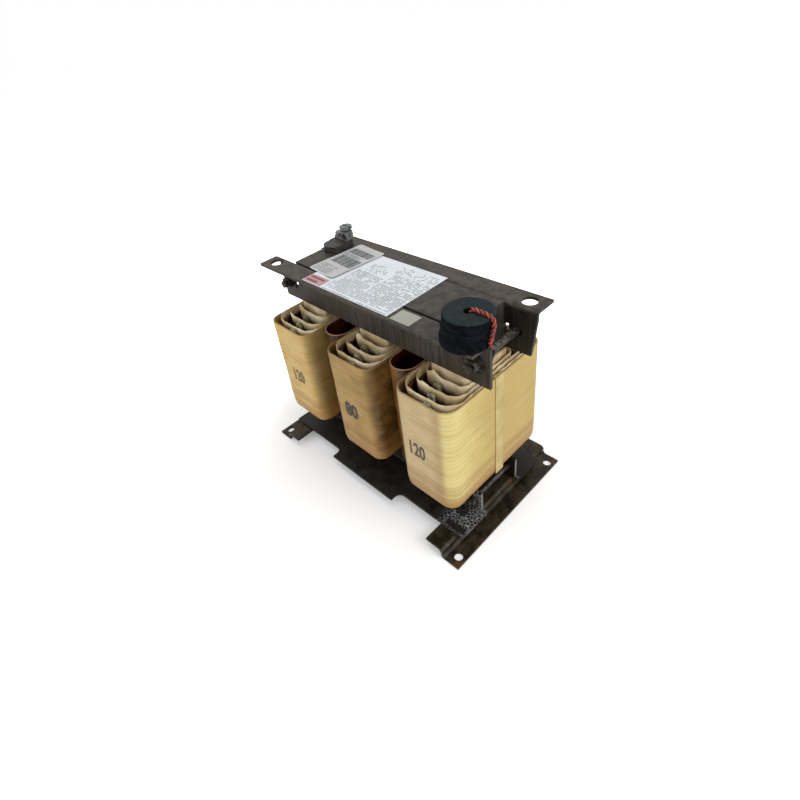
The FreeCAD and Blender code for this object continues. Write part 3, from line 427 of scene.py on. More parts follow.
def wrap_paper(name, node, light, dark, amber, seed, stain, deep=0.80, outer=None):
    """Ribbed paper. amber and stain say how far the varnish coloured it, deep how dark it is between the coils,
    partly from varnish and partly as painted shade. outer gives the two tones of the painted light on an end that
    faces out: lit at the front, shaded towards the back."""
    f = Finish(name, roughness=0.5, coat=0.15, coat_roughness=0.35, specular=0.3)
    middle = middle_of(*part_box(node))[0]
    level = f.less(f.z, WRAP_LOW)
    cloud = f.grain((30.0, 30.0, 46.0), detail=5.0, roughness=0.6, place=(seed, 0, 0))
    streak = f.grain((13.0, 13.0, 260.0), detail=3.0, roughness=0.5, place=(0, seed, 0))
    speck = f.grain((420.0, 420.0, 900.0), detail=2.0, place=(0, 0, seed))
    side = f.math("ABSOLUTE", f.less(f.x, middle))
    tone = f.mix(f.ramp(cloud, 0.3, 0.7), dark, light)
    if outer:
        # Painted light on the end that faces out: a lit tone at the front that falls to a shaded tone towards the
        # back.
        lit_end_tone = f.mix(f.ramp(f.plus(f.y, f.times(cloud, 0.05)), -0.045, 0.015), *outer)
        # Painted shade: a darker band on the front face just before the corner to the lit end.
        before = f.times(f.ramp(f.x, middle + 0.008, middle + 0.019), 0.38)
        tone = f.mix(f.times(before, f.ramp(f.y, -0.0600, -0.0640)), tone, (0.37, 0.25, 0.095))
        tone = f.mix(f.ramp(f.x, middle + 0.0205, middle + 0.0275), tone, lit_end_tone)
        side = f.less(middle, f.x)
    tone = f.mix(f.ramp(streak, 0.50, 0.74, 0.0, stain), tone, (0.27, 0.145, 0.042))
    # The sides that face the next coil darken, partly from varnish and partly as painted shade.
    shade = f.ramp(side, 0.022, 0.0335)
    tone = f.mix(f.times(shade, deep), tone, (0.085, 0.038, 0.004))
    wander = f.plus(level, f.times(cloud, -0.020))
    foot = f.ramp(wander, -0.006, 0.014, 1.0, 0.0)
    band = f.times(f.ramp(wander, 0.006, 0.012), f.ramp(wander, 0.014, 0.024, 1.0, 0.0))
    soak = f.math("MAXIMUM", foot, f.ramp(cloud, 0.66 - 0.30 * amber, 1.0 - 0.30 * amber, 0.0, 0.9))
    tone = f.mix(f.times(soak, 0.70), tone, (0.42, 0.22, 0.060))
    tone = f.mix(f.times(band, 0.25 + 0.35 * amber), tone, (0.30, 0.13, 0.030))
    seam = f.math("ABSOLUTE", f.less(level, f.plus(0.0125, f.times(cloud, 0.003))))
    under = f.ramp(f.less(level, f.times(cloud, 0.003)), 0.0120, 0.0126, 0.35, 0.0)
    tone = f.mix(under, tone, (0.36, 0.165, 0.040))
    tone = f.mix(f.ramp(seam, 0.0, 0.0006, 0.6, 0.0), tone, (0.16, 0.075, 0.022))
    lean = f.less(f.grain((9.0, 9.0, 4.0), detail=1.0, place=(seed, 1.0, 0)), 0.5)
    ring = f.math("FRACT", f.over(f.plus(level, f.times(lean, 0.002)), RIB))
    away = f.math("ABSOLUTE", f.less(ring, 0.5))
    patchy = f.ramp(f.grain((60.0, 60.0, 12.0), detail=2.0), 0.35, 0.6, 0.15, 0.72)
    groove = f.times(f.ramp(away, 0.445, 0.495), patchy)
    tone = f.mix(groove, tone, (0.235, 0.130, 0.044))
    tone = f.mix(f.ramp(speck, 0.60, 0.78, 0.0, 0.35), tone, (0.30, 0.19, 0.080))
    rim = f.ramp(level, WRAP_HIGH - WRAP_LOW - 0.0022, WRAP_HIGH - WRAP_LOW - 0.0004)
    f.colour(f.mix(f.times(rim, 0.5), tone, (0.33, 0.19, 0.07)))
    f.rough(f.ramp(soak, 0.0, 1.0, 0.58, 0.34))
    f.bump(f.plus(streak, f.times(speck, 0.4)), 0.35, 0.0004)
    return f


def collar_paper():
    """Cream at the cut top, and nearly black lower down in the ducts, which is painted shade."""
    f = Finish("collar_paper", roughness=0.6, coat=0.15)
    cloud = f.grain(60.0, detail=5.0)
    run = f.grain((220.0, 220.0, 22.0), detail=3.0)
    level = f.plus(f.z, f.times(run, 0.006))
    low = f.ramp(level, WRAP_HIGH - 0.009, WRAP_HIGH - 0.001)
    tone = f.mix(f.ramp(cloud, 0.35, 0.7), (0.55, 0.40, 0.20), (0.84, 0.72, 0.49))
    # Painted shade: below the top of the wraps the collars turn nearly black, deep in the ducts.
    f.colour(f.mix(low, (0.040, 0.016, 0.006), tone))
    f.bump(cloud, 0.3, 0.0004)
    return f


def barrier_finish():
    """Board with amber varnish outside, dark red inside and a pale cut edge along its top."""
    f = Finish("barrier_board", roughness=0.4, coat=0.16, coat_roughness=0.2, specular=0.2)
    low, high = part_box("barrier_right")
    middle, half = middle_of(low, high)[0], (high[0] - low[0]) / 2
    across = f.less(f.math("ABSOLUTE", f.x), middle)
    along = f.math("MAXIMUM", f.less(f.math("ABSOLUTE", f.y), high[1] - half), 0.0)
    reach = f.length(across, along)
    cloud = f.grain((50.0, 50.0, 25.0), detail=4.0)
    inner = f.mix(f.ramp(cloud, 0.35, 0.7), (0.022, 0.003, 0.001), (0.150, 0.028, 0.004))
    outer = f.mix(f.ramp(cloud, 0.35, 0.7), (0.050, 0.018, 0.002), (0.215, 0.105, 0.018))
    board = f.mix(f.ramp(reach, half - 0.0007, half - 0.0003), inner, outer)
    f.colour(f.mix(f.ramp(f.z, high[2] - 0.0009, high[2] - 0.0004), board, (0.46, 0.27, 0.17)))
    f.bump(cloud, 0.2, 0.0006)
    return f


COLLAR, BARRIER = collar_paper(), barrier_finish()
WINDING = mottled("dark_winding", (80.0, 80.0, 500.0), 4.0, (0.4, 0.7), (0.008, 0.003, 0.002), (0.095, 0.018, 0.010),
                  (0.5, 0.0005), roughness=0.3, coat=0.3)
STICK = mottled("duct_stick", (300.0, 300.0, 60.0), 4.0, (0.3, 0.7), (0.11, 0.095, 0.045), (0.31, 0.285, 0.175),
                (0.4, 0.0004), roughness=0.45, coat=0.2)
WRAPS = {
    1: wrap_paper("wrap_left", "coil_1_wrap", (0.74, 0.53, 0.205), (0.60, 0.395, 0.115), 0.50, 1.3, 0.42, deep=0.60),
    # The middle coil's darker tones are partly deeper varnish and partly painted shade, as it sits between the
    # others.
    2: wrap_paper("wrap_middle", "coil_2_wrap", (0.48, 0.325, 0.110), (0.33, 0.200, 0.052), 0.85, 4.1, 0.65,
                  deep=0.97),
    3: wrap_paper("wrap_right", "coil_3_wrap", (0.64, 0.495, 0.265), (0.54, 0.395, 0.190), 0.15, 7.7, 0.28,
                  outer=((0.74, 0.615, 0.245), (0.53, 0.385, 0.120)))}
for name, obj in nodes_cad.items():
    for ending, finish in (("_winding", WINDING), ("_duct_sticks", STICK), ("_collars", COLLAR), ("_former", COLLAR)):
        if name.endswith(ending):
            dress(obj, finish)
    if name.startswith("barrier_"):
        dress(obj, BARRIER)
print("papers finished")

# %% [markdown]
# ## The coil wraps
# A wrap is a tube round a rounded rectangle, so it follows a rule, and Geometry Nodes can build it: a grid is
# wrapped round a filleted rectangle, each row sits a little higher, and a formula pushes it in and out to make
# the ribs. The same tree makes the paper collars inside, with no ribs and a more ragged rim. A Solidify
# modifier gives the skin its wall, and the result becomes a plain mesh.

# %% A helper for node trees
class Tree(Wiring):
    """A geometry node group with named inputs that start at the values given, and a material."""

    def __init__(self, name, values):
        self.group = bpy.data.node_groups.new(name, "GeometryNodeTree")
        super().__init__(self.group)
        self.group.interface.new_socket("Geometry", in_out="OUTPUT", socket_type="NodeSocketGeometry")
        self.keys = {}
        for label, value in {**values, "Material": None}.items():
            kind = {int: "Int", float: "Float"}.get(type(value), "Material")
            socket = self.group.interface.new_socket(label, in_out="INPUT", socket_type="NodeSocket" + kind)
            if value is not None:
                socket.default_value = value
            self.keys[label] = socket.identifier
        self.inputs = self.node("NodeGroupInput")
        self.out = self.node("NodeGroupOutput")

    def __getitem__(self, label):
        return self.inputs.outputs[label]

    def end(self, geometry):
        """Every tree ends in real, plain geometry with its material set."""
        real = self.node("GeometryNodeRealizeInstances", {"Geometry": geometry})
        done = self.node("GeometryNodeSetMaterial", {"Geometry": real.outputs[0], "Material": self["Material"]})
        self.join(done.outputs[0], self.out.inputs[0])


def grow(tree, name, finish, values, wall=None):
    """Runs a tree on an empty mesh and returns the plain mesh that it makes."""
    carrier = put(name + "_carrier", bpy.data.meshes.new(name + "_carrier"))
    modifier = carrier.modifiers.new("grow", "NODES")
    modifier.node_group = tree.group
    for label, value in {**values, "Material": finish.material}.items():
        modifier[tree.keys[label]] = value
    if wall:
        solidify = carrier.modifiers.new("wall", "SOLIDIFY")
        solidify.thickness, solidify.offset = wall, -1.0
    mesh = made_plain(carrier)
    mesh.name = name
    smooth(mesh)
    face_outwards(mesh)
    return mesh


print("tree helpers ready")

# %% The tube tree
ROLL_HIGH, TIP_WIDE = 11 * MM, 7 * MM


def tube_tree():
    t = Tree("paper_tube", {
        "Centre": 0.0, "Half Width": 0.034, "Half Depth": 0.072, "Corner": 0.014, "Bottom": 0.052, "Height": 0.124,
        "Around": 150, "Rows": 148, "Rib Pitch": RIB, "Rib Depth": 0.0003, "Bulge": 0.0008, "Ragged Rim": 0.001,
        "Foot Roll": 0.002, "Seed": 0.0, "Tip": 0.0, "Tip Place": 0.0})
    outline = t.node("GeometryNodeCurvePrimitiveQuadrilateral", {
        "Width": t.times(t["Half Width"], 2.0), "Height": t.times(t["Half Depth"], 2.0)})
    rounded = t.node("GeometryNodeFilletCurve", {"Curve": outline.outputs[0], "Radius": t["Corner"]}, mode="POLY")
    rounded.inputs["Count"].default_value = 12
    grid = t.node("GeometryNodeMeshGrid", {
        "Size X": 1.0, "Size Y": 1.0, "Vertices X": t["Around"], "Vertices Y": t["Rows"]})
    u, v = (t.plus(share, 0.5) for share in t.split(t.node("GeometryNodeInputPosition").outputs[0])[:2])
    ride = t.node("GeometryNodeSampleCurve", {"Factor": u, "Curves": rounded.outputs[0]}, mode="FACTOR")
    along_x, along_y, _ = t.split(ride.outputs["Tangent"])
    x, y, _ = t.split(ride.outputs["Position"])
    out_x, out_y = along_y, t.times(along_x, -1.0)
    facing = t.node("ShaderNodeVectorMath", {0: t.vector(out_x, out_y), 1: ride.outputs["Position"]},
                    operation="DOT_PRODUCT")
    sign = t.math("SIGN", facing.outputs["Value"])
    rise = t.times(v, t["Height"])
    rib = t.math("ABSOLUTE", t.math("SINE", t.over(t.times(rise, math.pi), t["Rib Pitch"])))
    rib = t.times(t.less(rib, 1.0), t["Rib Depth"])
    seeded = t.vector(t.plus(x, t["Seed"]), y, rise)
    wave, crinkle = (t.node("ShaderNodeTexNoise", {"Vector": seeded, "Scale": scale, "Detail": 1.0}).outputs["Fac"]
                     for scale in (28.0, 120.0))
    bulge = t.times(t.less(wave, 0.62), t["Bulge"])
    low = t.math("MAXIMUM", t.less(1.0, t.over(rise, ROLL_HIGH)), 0.0)
    roll = t.times(t.times(low, low), t["Foot Roll"])
    push = t.times(t.less(t.plus(rib, bulge), roll), sign)
    ragged = t.times(t.less(crinkle, 0.62), t["Ragged Rim"])
    from_tip = t.over(t.math("ABSOLUTE", t.less(x, t["Tip Place"])), TIP_WIDE)
    tip = t.times(t.math("MAXIMUM", t.less(1.0, from_tip), 0.0), t["Tip"])
    front = t.math("LESS_THAN", y, 0.0)
    rim = t.times(t.plus(ragged, t.times(tip, front)), t.math("POWER", v, 12.0))
    final = t.vector(t.plus(t.plus(x, t.times(out_x, push)), t["Centre"]), t.plus(y, t.times(out_y, push)),
                     t.plus(t.plus(t["Bottom"], rise), rim))
    shaped = t.node("GeometryNodeSetPosition", {"Geometry": grid.outputs["Mesh"], "Position": final})
    closed = t.node("GeometryNodeMergeByDistance", {"Geometry": shaped.outputs[0], "Distance": 0.02 * MM})
    t.end(closed.outputs[0])
    return t


TUBE = tube_tree()
print("tube tree ready")

# %% Paper wraps
WRAP_CORNER, WRAP_WALL = 14 * MM, 1.9 * MM


def paper_tube(name, low, high, finish, cad_slot, node, wall, shape):
    """A tube of paper in the box between two corners, in place of a CAD piece."""
    mesh = grow(TUBE, name, finish, {
        "Centre": (low[0] + high[0]) / 2, "Half Width": (high[0] - low[0]) / 2, "Half Depth": (high[1] - low[1]) / 2,
        "Bottom": low[2], "Height": high[2] - low[2], **shape}, wall)
    return add_piece(name, mesh, finish, (node,))


for number, bulge in ((1, 1.2), (2, 1.2), (3, 0.45)):
    node = "coil_%d_wrap" % number
    made = paper_tube("coil_%d_paper_wrap" % number, *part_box(node), WRAPS[number], "coil_wrap", node, WRAP_WALL, {
        "Corner": WRAP_CORNER, "Around": 151, "Rows": 149, "Rib Pitch": RIB, "Rib Depth": 0.30 * MM,
        "Bulge": bulge * MM, "Ragged Rim": 2.0 * MM, "Foot Roll": 1.5 * MM, "Seed": number * 0.37})
    print(made.name, len(made.data.polygons), "faces", [round(c, 4) for c in made.bound_box[0]])

# %% [markdown]
# ## The collars
# Between the layers stand thin paper collars. They were cut by hand, so their top edges wander. They are rings
# of one CAD node; the same tree grows one tube for each, thin and with a ragged rim.

# %% Paper collars
def loose_parts(obj):
    """Corner boxes of the separate shells of a mesh, from the smallest to the largest."""
    work = bmesh.new()
    work.from_mesh(obj.data)
    bmesh.ops.remove_doubles(work, verts=work.verts, dist=1e-6)
    seen, boxes = set(), []
    for start in work.verts:
        if start in seen:
            continue
        seen.add(start)
        members = [start]
        for vert in members:
            fresh = {edge.other_vert(vert) for edge in vert.link_edges} - seen
            seen |= fresh
            members += fresh
        boxes.append([[limit(vert.co[axis] for vert in members) for axis in range(3)] for limit in (min, max)])
    work.free()
    return sorted(boxes, key=lambda box: box[1][1] - box[0][1])


COLLAR_WALL = 0.6 * MM
CORNERS_AND_TIPS = ((9, 5.0), (14, 2.5), (17, 0.0))
for number in (1, 2, 3):
    node = "coil_%d_collars" % number
    for index, (low, high) in enumerate(loose_parts(nodes_cad[node])):
        corner, tip = CORNERS_AND_TIPS[index]
        paper_tube("coil_%d_collar_%d" % (number, index + 1), low, high, COLLAR, "coil_paper", node, COLLAR_WALL, {
            "Corner": corner * MM, "Around": 121, "Rows": 24, "Rib Pitch": 1.0, "Rib Depth": 0.0, "Bulge": 0.8 * MM,
            "Ragged Rim": 4.0 * MM, "Foot Roll": 0.0, "Seed": number * 1.7 + index * 0.61, "Tip": tip * MM,
            "Tip Place": (high[0] - low[0]) * (-0.36 + 0.05 * number)})
print("collars made")

# %% [markdown]
# ## The duct sticks
# Sticks stand between the windings and hold the air ducts open. The photograph shows their knobby, grey-green
# tops. The CAD has plain bars. Here each bar's box is filled with rings that noise pushes in and out, joined
# into one rod, because that gives the round, uneven tops with few points.

# %% Rounded duct sticks
DROPS = (0.0, 0.3, 0.9, 1.8, 3.0, 4.5, 6.0, 7.5, 9.0, 11.0, 14.0, 20.0, 40.0, 80.0)
DOME = (0.30, 0.62, 0.84, 0.95)


def rounded_stick(low, high, seed, sides=14):
    """A knobby rod inside a box, domed at the top. Its rings crowd near the top, where it is seen."""
    middle, half, rings = middle_of(low, high), [(b - a) / 2 for a, b in zip(low, high)], []
    for j, drop in enumerate((*DROPS, (high[2] - low[2]) / MM)):
        rings.append([])
        for k in range(sides):
            a = 2 * math.pi * k / sides
            knob = 0.90 + 0.20 * noise.noise(Vector((math.cos(a) * 0.8 + seed, math.sin(a) * 0.8, drop * 0.28)))
            square = (abs(math.cos(a)) ** 3 + abs(math.sin(a)) ** 3) ** (-1 / 3)
            size = min(knob, 1.0) * (DOME[j] if j < len(DOME) else 1.0) * square
            rings[-1].append((middle[0] + half[0] * size * math.cos(a), middle[1] + half[1] * size * math.sin(a),
                              high[2] - drop * MM))
    return lofted("stick", rings)


for number in (1, 2, 3):
    node, name = "coil_%d_duct_sticks" % number, "coil_%d_rounded_sticks" % number
    sticks = [rounded_stick(*box, number + index * 3.1) for index, box in enumerate(loose_parts(nodes_cad[node]))]
    add_piece(name, join_meshes(name, sticks), STICK, (node,))
    print(node, len(sticks), "sticks")

# %% [markdown]
# ## The choke rings and the twisted pair
# Three black rings sit on the front right corner. Each is a turned shape, so its section is drawn once and
# spun. Two insulated wires, one red and one orange, are twisted together. They come up through the rings,
# cross the rim and drop to the right coil. The path is a list of places; a frame is carried along it without
# twisting, and each wire winds round that frame.

# %% Spun shapes
def spun(name, section, centre, steps=96):
    """A closed ring from a closed section of (radius, height) points."""
    angles = [2 * math.pi * i / steps for i in range(steps)]
    return lofted(name, [[(centre[0] + r * math.cos(a), centre[1] + r * math.sin(a), centre[2] + h)
                          for r, h in section] for a in angles], closed=True)


def rounded_section(inner, outer, height, edge, steps=6):
    """A rectangle with rounded corners, half as round inside, as (radius, height) points."""
    points, small = [], edge * 0.5
    corners = ((inner + small, small, small, 180), (outer - edge, edge, edge, 270),
               (outer - edge, height - edge, edge, 0), (inner + small, height - small, small, 90))
    for r, h, radius, start in corners:
        for i in range(steps + 1):
            a = math.radians(start + 90 * i / steps)
            points.append((r + radius * math.cos(a), h + radius * math.sin(a)))
    return points


def ring_finish():
    """Black coating with a painted grey-blue highlight on top and painted shade in the joints between the rings."""
    f = Finish("choke_coating", roughness=0.75, specular=0.03)
    up = f.facing_up()
    cloud = f.grain(160.0, detail=5.0)
    side = f.mix(f.ramp(cloud, 0.3, 0.7), (0.0025, 0.0030, 0.0045), (0.0085, 0.0100, 0.0140))
    uneven = f.times(f.grain((40.0, 40.0, 90.0), detail=3.0), 0.0030)
    # Painted shade: the joints between the stacked rings are darkened nearly to black.
    joint = f.math("ABSOLUTE", f.less(f.math("FRACT", f.over(f.less(CROWN, f.z), RING_HIGH)), 0.5))
    joint = f.times(f.ramp(f.plus(f.times(f.less(0.5, joint), RING_HIGH), uneven), 0.0014, 0.0030, 1.0, 0.0),
                    f.ramp(f.z, CROWN - 0.005, CROWN - 0.003, 1.0, 0.0))
    side = f.mix(joint, side, (0.0008, 0.0010, 0.0016))
    # Painted highlight: faces that look up, most of all on the top ring, get a lighter grey-blue.
    top_highlight = f.mix(f.ramp(cloud, 0.3, 0.7), (0.018, 0.026, 0.027), (0.028, 0.036, 0.037))
    crown = f.ramp(f.z, CROWN - 0.004, CROWN - 0.002, 0.25, 1.0)
    f.colour(f.mix(f.times(f.ramp(up, 0.3, 0.85), crown), side, top_highlight))
    f.bump(cloud, 0.25, 0.0004)
    return f


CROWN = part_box("choke_ring_upper")[1][2]
RING_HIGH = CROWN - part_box("choke_ring_upper")[0][2]
RING = ring_finish()
HOLE, RING_EDGE, RING_GAP = 4.2 * MM, 2.2 * MM, 0.15 * MM
for name in ("choke_ring_lower", "choke_ring_middle", "choke_ring_upper"):
    low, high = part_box(name)
    section = rounded_section(HOLE, (high[0] - low[0]) / 2, high[2] - low[2] - RING_GAP, RING_EDGE)
    ring = spun(name + "_coated", section, (*middle_of(low, high)[:2], low[2]))
    add_piece(name + "_coated", ring, RING, (name,))
print("rings made")

# %% The twisted pair
def spline(points, steps):
    """Evenly stepped places along a smooth curve through the points."""
    padded = [points[0] * 2 - points[1], *points, points[-1] * 2 - points[-2]]
    dense = []
    for i in range(1, len(padded) - 2):
        p0, p1, p2, p3 = padded[i - 1:i + 3]
        for k in range(24):
            t = k / 24
            dense.append(0.5 * (2 * p1 + (p2 - p0) * t + (2 * p0 - 5 * p1 + 4 * p2 - p3) * t * t
                                + (3 * p1 - p0 - 3 * p2 + p3) * t ** 3))
    dense.append(points[-1])
    lengths = [0.0]
    for a, b in zip(dense, dense[1:]):
        lengths.append(lengths[-1] + (b - a).length)
    spots, j = [], 0
    for i in range(steps + 1):
        want = lengths[-1] * i / steps
        while j < len(lengths) - 2 and lengths[j + 1] < want:
            j += 1
        share = (want - lengths[j]) / max(lengths[j + 1] - lengths[j], 1e-9)
        spots.append(dense[j].lerp(dense[j + 1], min(share, 1.0)))
    return spots


def carried(spots):
    """Each place with two directions across the path, carried along it without twisting."""
    side = Vector((0, 1, 0))
    for i, spot in enumerate(spots):
        along = (spots[min(i + 1, len(spots) - 1)] - spots[max(i - 1, 0)]).normalized()
        side = (side - along * side.dot(along)).normalized()
        yield spot, side, along.cross(side)


def beside(spot, side, over, angle, radius):
    """A point round a place of the path."""
    return spot + (side * math.cos(angle) + over * math.sin(angle)) * radius


def tube_along(name, spots, radius, sides=12):
    """A closed tube that follows the places."""
    angles = [2 * math.pi * k / sides for k in range(sides)]
    return lofted(name, [[beside(*place, a, radius) for a in angles] for place in carried(spots)])


def wire_finish(name, light, dark):
    f = Finish(name, roughness=0.4, coat=0.2)
    cloud = f.grain(300.0, detail=4.0)
    tone = f.mix(f.ramp(cloud, 0.35, 0.7), dark, light)
    # Painted shade: below the top of the core the wire is darkened almost to black.
    f.colour(f.mix(f.ramp(f.z, 0.2350, 0.2400, 0.94, 0.0), tone, (0.020, 0.010, 0.008)))
    f.bump(cloud, 0.2, 0.0002)
    return f


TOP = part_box("core_top_yoke")[1][2]
low_ring, top_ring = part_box("choke_ring_lower"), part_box("choke_ring_upper")
CX, CY = middle_of(*low_ring)[:2]
SHIFT = top_ring[1][0] - low_ring[1][0]
WIRE = 1.9 * MM
OUT = top_ring[1][0] + WIRE
MID_OUT, LOW_OUT = low_ring[1][0] + 0.5 * SHIFT + WIRE, low_ring[1][0] + WIRE
LEG_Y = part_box("top_bracket_front")[1][1]
FLANGE_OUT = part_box("top_bracket_front")[1][0] + WIRE + 0.3 * MM
ROD_Z = middle_of(*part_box("top_rod_right"))[2]
wind_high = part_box("coil_3_outer_winding")[1]
END_X = wind_high[0] - 1.5 * MM
offsets = [(CX, 2.6, CY, 0, TOP, 13), (CX, 3, CY, 0, TOP, 20), (CX + SHIFT, 1.6, CY, 0, CROWN, -2),
           (CX + SHIFT, 3.0, CY, 0, CROWN, 1.3), (CX + SHIFT, 6.5, CY, 0, CROWN, 2.1), (OUT, -6, CY, 0, CROWN, 2.0),
           (OUT, -1.2, CY, 0, CROWN, 0), (OUT, 0, CY, 0, CROWN, -6), (OUT, -0.7, CY, -0.8, TOP, 19),
           (MID_OUT, -0.2, CY, -0.6, TOP, 12), (LOW_OUT, 0, CY, 0, TOP, 5), (LOW_OUT, -0.4, CY, 3.5, TOP, 0.5),
           (FLANGE_OUT, 1.2, LEG_Y, -3, TOP, -3),
           (FLANGE_OUT, 0, LEG_Y, 1.5, TOP, -7), (FLANGE_OUT, -4.6, LEG_Y, 6, TOP, -13),
           (FLANGE_OUT, -8.6, LEG_Y, 8.5, ROD_Z, 4), (END_X, 6.4, LEG_Y, 11, ROD_Z, -8),
           (END_X, 2, LEG_Y, 14.5, ROD_Z, -17), (END_X, 0, LEG_Y, 15, ROD_Z, -26), (END_X, 0, LEG_Y, 15, ROD_Z, -34),
           (END_X, 0, LEG_Y, 15, wind_high[2], 0.1)]
route = [(x + dx * MM, y + dy * MM, z + dz * MM) for x, dx, y, dy, z, dz in offsets]
spine = spline([Vector(p) for p in route], 340)
TURNS = 17.0
wires = {"choke_wire_red": wire_finish("red_insulation", (0.27, 0.013, 0.006), (0.11, 0.005, 0.003)),
         "choke_wire_orange": wire_finish("orange_insulation", (0.44, 0.050, 0.010), (0.17, 0.012, 0.005))}
for k, (name, finish) in enumerate(wires.items()):
    spots = []
    for i, place in enumerate(carried(spine)):
        angle = math.pi * k + 2 * math.pi * TURNS * min(i / len(spine), 0.80)
        spots.append(beside(*place, angle, WIRE * 0.5))
    add_piece(name, tube_along(name, spots, WIRE * 0.5), finish, ("choke_lead",))
print("twisted pair made, spine of", len(spine), "places")

# %% [markdown]
# ## Threads
# The ends of the clamp rods stand out of their nuts, and there the thread shows. A helix of fine wire laid on
# the rod reads as a thread. Geometry Nodes has a Spiral curve for this, and a small square section follows it.

# %% Threads on the rod ends
def thread_tree():
    t = Tree("thread", {"Radius": 0.005, "Pitch": 0.0015, "Length": 0.005})
    turns = t.over(t["Length"], t["Pitch"])
    helix = t.node("GeometryNodeCurveSpiral", {"Resolution": 28, "Rotations": turns, "Start Radius": t["Radius"],
                                               "End Radius": t["Radius"], "Height": t["Length"]})
    section = t.node("GeometryNodeCurvePrimitiveCircle", {"Resolution": 4, "Radius": t.times(t["Pitch"], 0.36)})
    ridge = t.node("GeometryNodeCurveToMesh", {"Curve": helix.outputs[0], "Profile Curve": section.outputs[0],
                                               "Fill Caps": True})
    t.end(ridge.outputs[0])
    return t


THREAD = thread_tree()
ROD_POINT = 0.6 * MM
for level, pitch in (("top", 1.25 * MM), ("bottom", 1.0 * MM)):
    nut_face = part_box(level + "_nuts")[1][1]
    for hand in ("left", "right"):
        low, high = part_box("%s_rod_%s" % (level, hand))
        x, _, z = middle_of(low, high)
        for end in (-1, 1):
            mesh = grow(THREAD, "thread", DULL, {"Radius": (high[0] - low[0]) / 2 - pitch * 0.10, "Pitch": pitch,
                                                 "Length": high[1] - nut_face - ROD_POINT - pitch})
            mesh.transform(Matrix.Translation((x, end * (nut_face + pitch * 0.5), z))
                           @ Matrix.Rotation(math.radians(-90 * end), 4, "X"))
            add_piece("%s_thread_%s_%s" % (level, hand, "rear" if end > 0 else "front"), mesh, DULL)
print("threads cut")

# %% [markdown]
# ## Labels
# Three labels lie on the top. Their print is only a look: rows of short grey dashes with gaps, as far text
# looks from here. Geometry Nodes scatters the dashes on a grid, with a fixed seed for their lengths. The
# shipping label is stuck over the big one and its edge has begun to lift.

# %% Label papers
def label_finish(name, tone, dirt):
    return mottled(name, 50.0, 5.0, (0.45, 0.8), tone, dirt, (0.12, 0.0004), share=0.5, roughness=0.45, coat=0.15)


def ink_finish(name, tone, paper):
    f = Finish(name, roughness=0.6)
    worn = f.grain(700.0, detail=3.0)
    f.colour(f.mix(f.ramp(worn, 0.50, 0.75, 0.0, 0.6), tone, paper))
    return f


WHITE = label_finish("label_white", (0.66, 0.70, 0.73), (0.50, 0.52, 0.53))
FILM = label_finish("label_film", (0.46, 0.465, 0.455), (0.33, 0.33, 0.305))
GREY = label_finish("label_grey", (0.32, 0.325, 0.26), (0.22, 0.225, 0.18))
INK = ink_finish("dark_ink", (0.060, 0.066, 0.075), (0.30, 0.32, 0.34))
GREY_INK = ink_finish("grey_ink", (0.21, 0.225, 0.24), (0.46, 0.49, 0.51))
dress(nodes_cad["rating_label"], WHITE)
dress(nodes_cad["mark_label"], GREY)


def dash_tree():
    t = Tree("printed_lines", {"Width": 0.05, "Depth": 0.03, "Columns": 20, "Lines": 8, "Line Height": 0.001,
                               "Cover": 0.8, "Seed": 1})
    grid = t.node("GeometryNodeMeshGrid", {
        "Size X": t["Width"], "Size Y": t["Depth"], "Vertices X": t["Columns"], "Vertices Y": t["Lines"]})
    dots = t.node("GeometryNodeMeshToPoints", {"Mesh": grid.outputs["Mesh"]})
    keep = t.node("FunctionNodeRandomValue", {"Seed": t["Seed"]}, data_type="FLOAT")
    length = t.node("FunctionNodeRandomValue", {"Seed": t.plus(t["Seed"], 7.0)}, data_type="FLOAT")
    cell = t.over(t["Width"], t.less(t["Columns"], 1.0))
    share = t.plus(t.times(length.outputs[1], 0.34), 0.64)
    dash = t.node("GeometryNodeMeshGrid", {"Size X": 1.0, "Size Y": 1.0, "Vertices X": 2, "Vertices Y": 2})
    size = t.vector(t.times(cell, share), t["Line Height"], 1.0)
    chosen = t.node("FunctionNodeCompare", {"A": keep.outputs[1], "B": t["Cover"]}, operation="LESS_THAN",
                    data_type="FLOAT")
    laid = t.node("GeometryNodeInstanceOnPoints", {
        "Points": dots.outputs[0], "Selection": chosen.outputs[0], "Instance": dash.outputs["Mesh"], "Scale": size})
    t.end(laid.outputs[0])
    return t


DASHES = dash_tree()
INK_THICK = 0.03 * MM
INK_UP = Vector((0, 0, INK_THICK))


def printed(width, depth, columns, lines, line_height, cover, seed, place):
    """A block of dashes, thin as ink, centred on a place."""
    mesh = grow(DASHES, "lines", GREY_INK, {"Width": width, "Depth": depth, "Columns": columns, "Lines": lines,
                                            "Line Height": line_height, "Cover": cover, "Seed": seed}, INK_THICK)
    mesh.transform(Matrix.Translation(place))
    return mesh


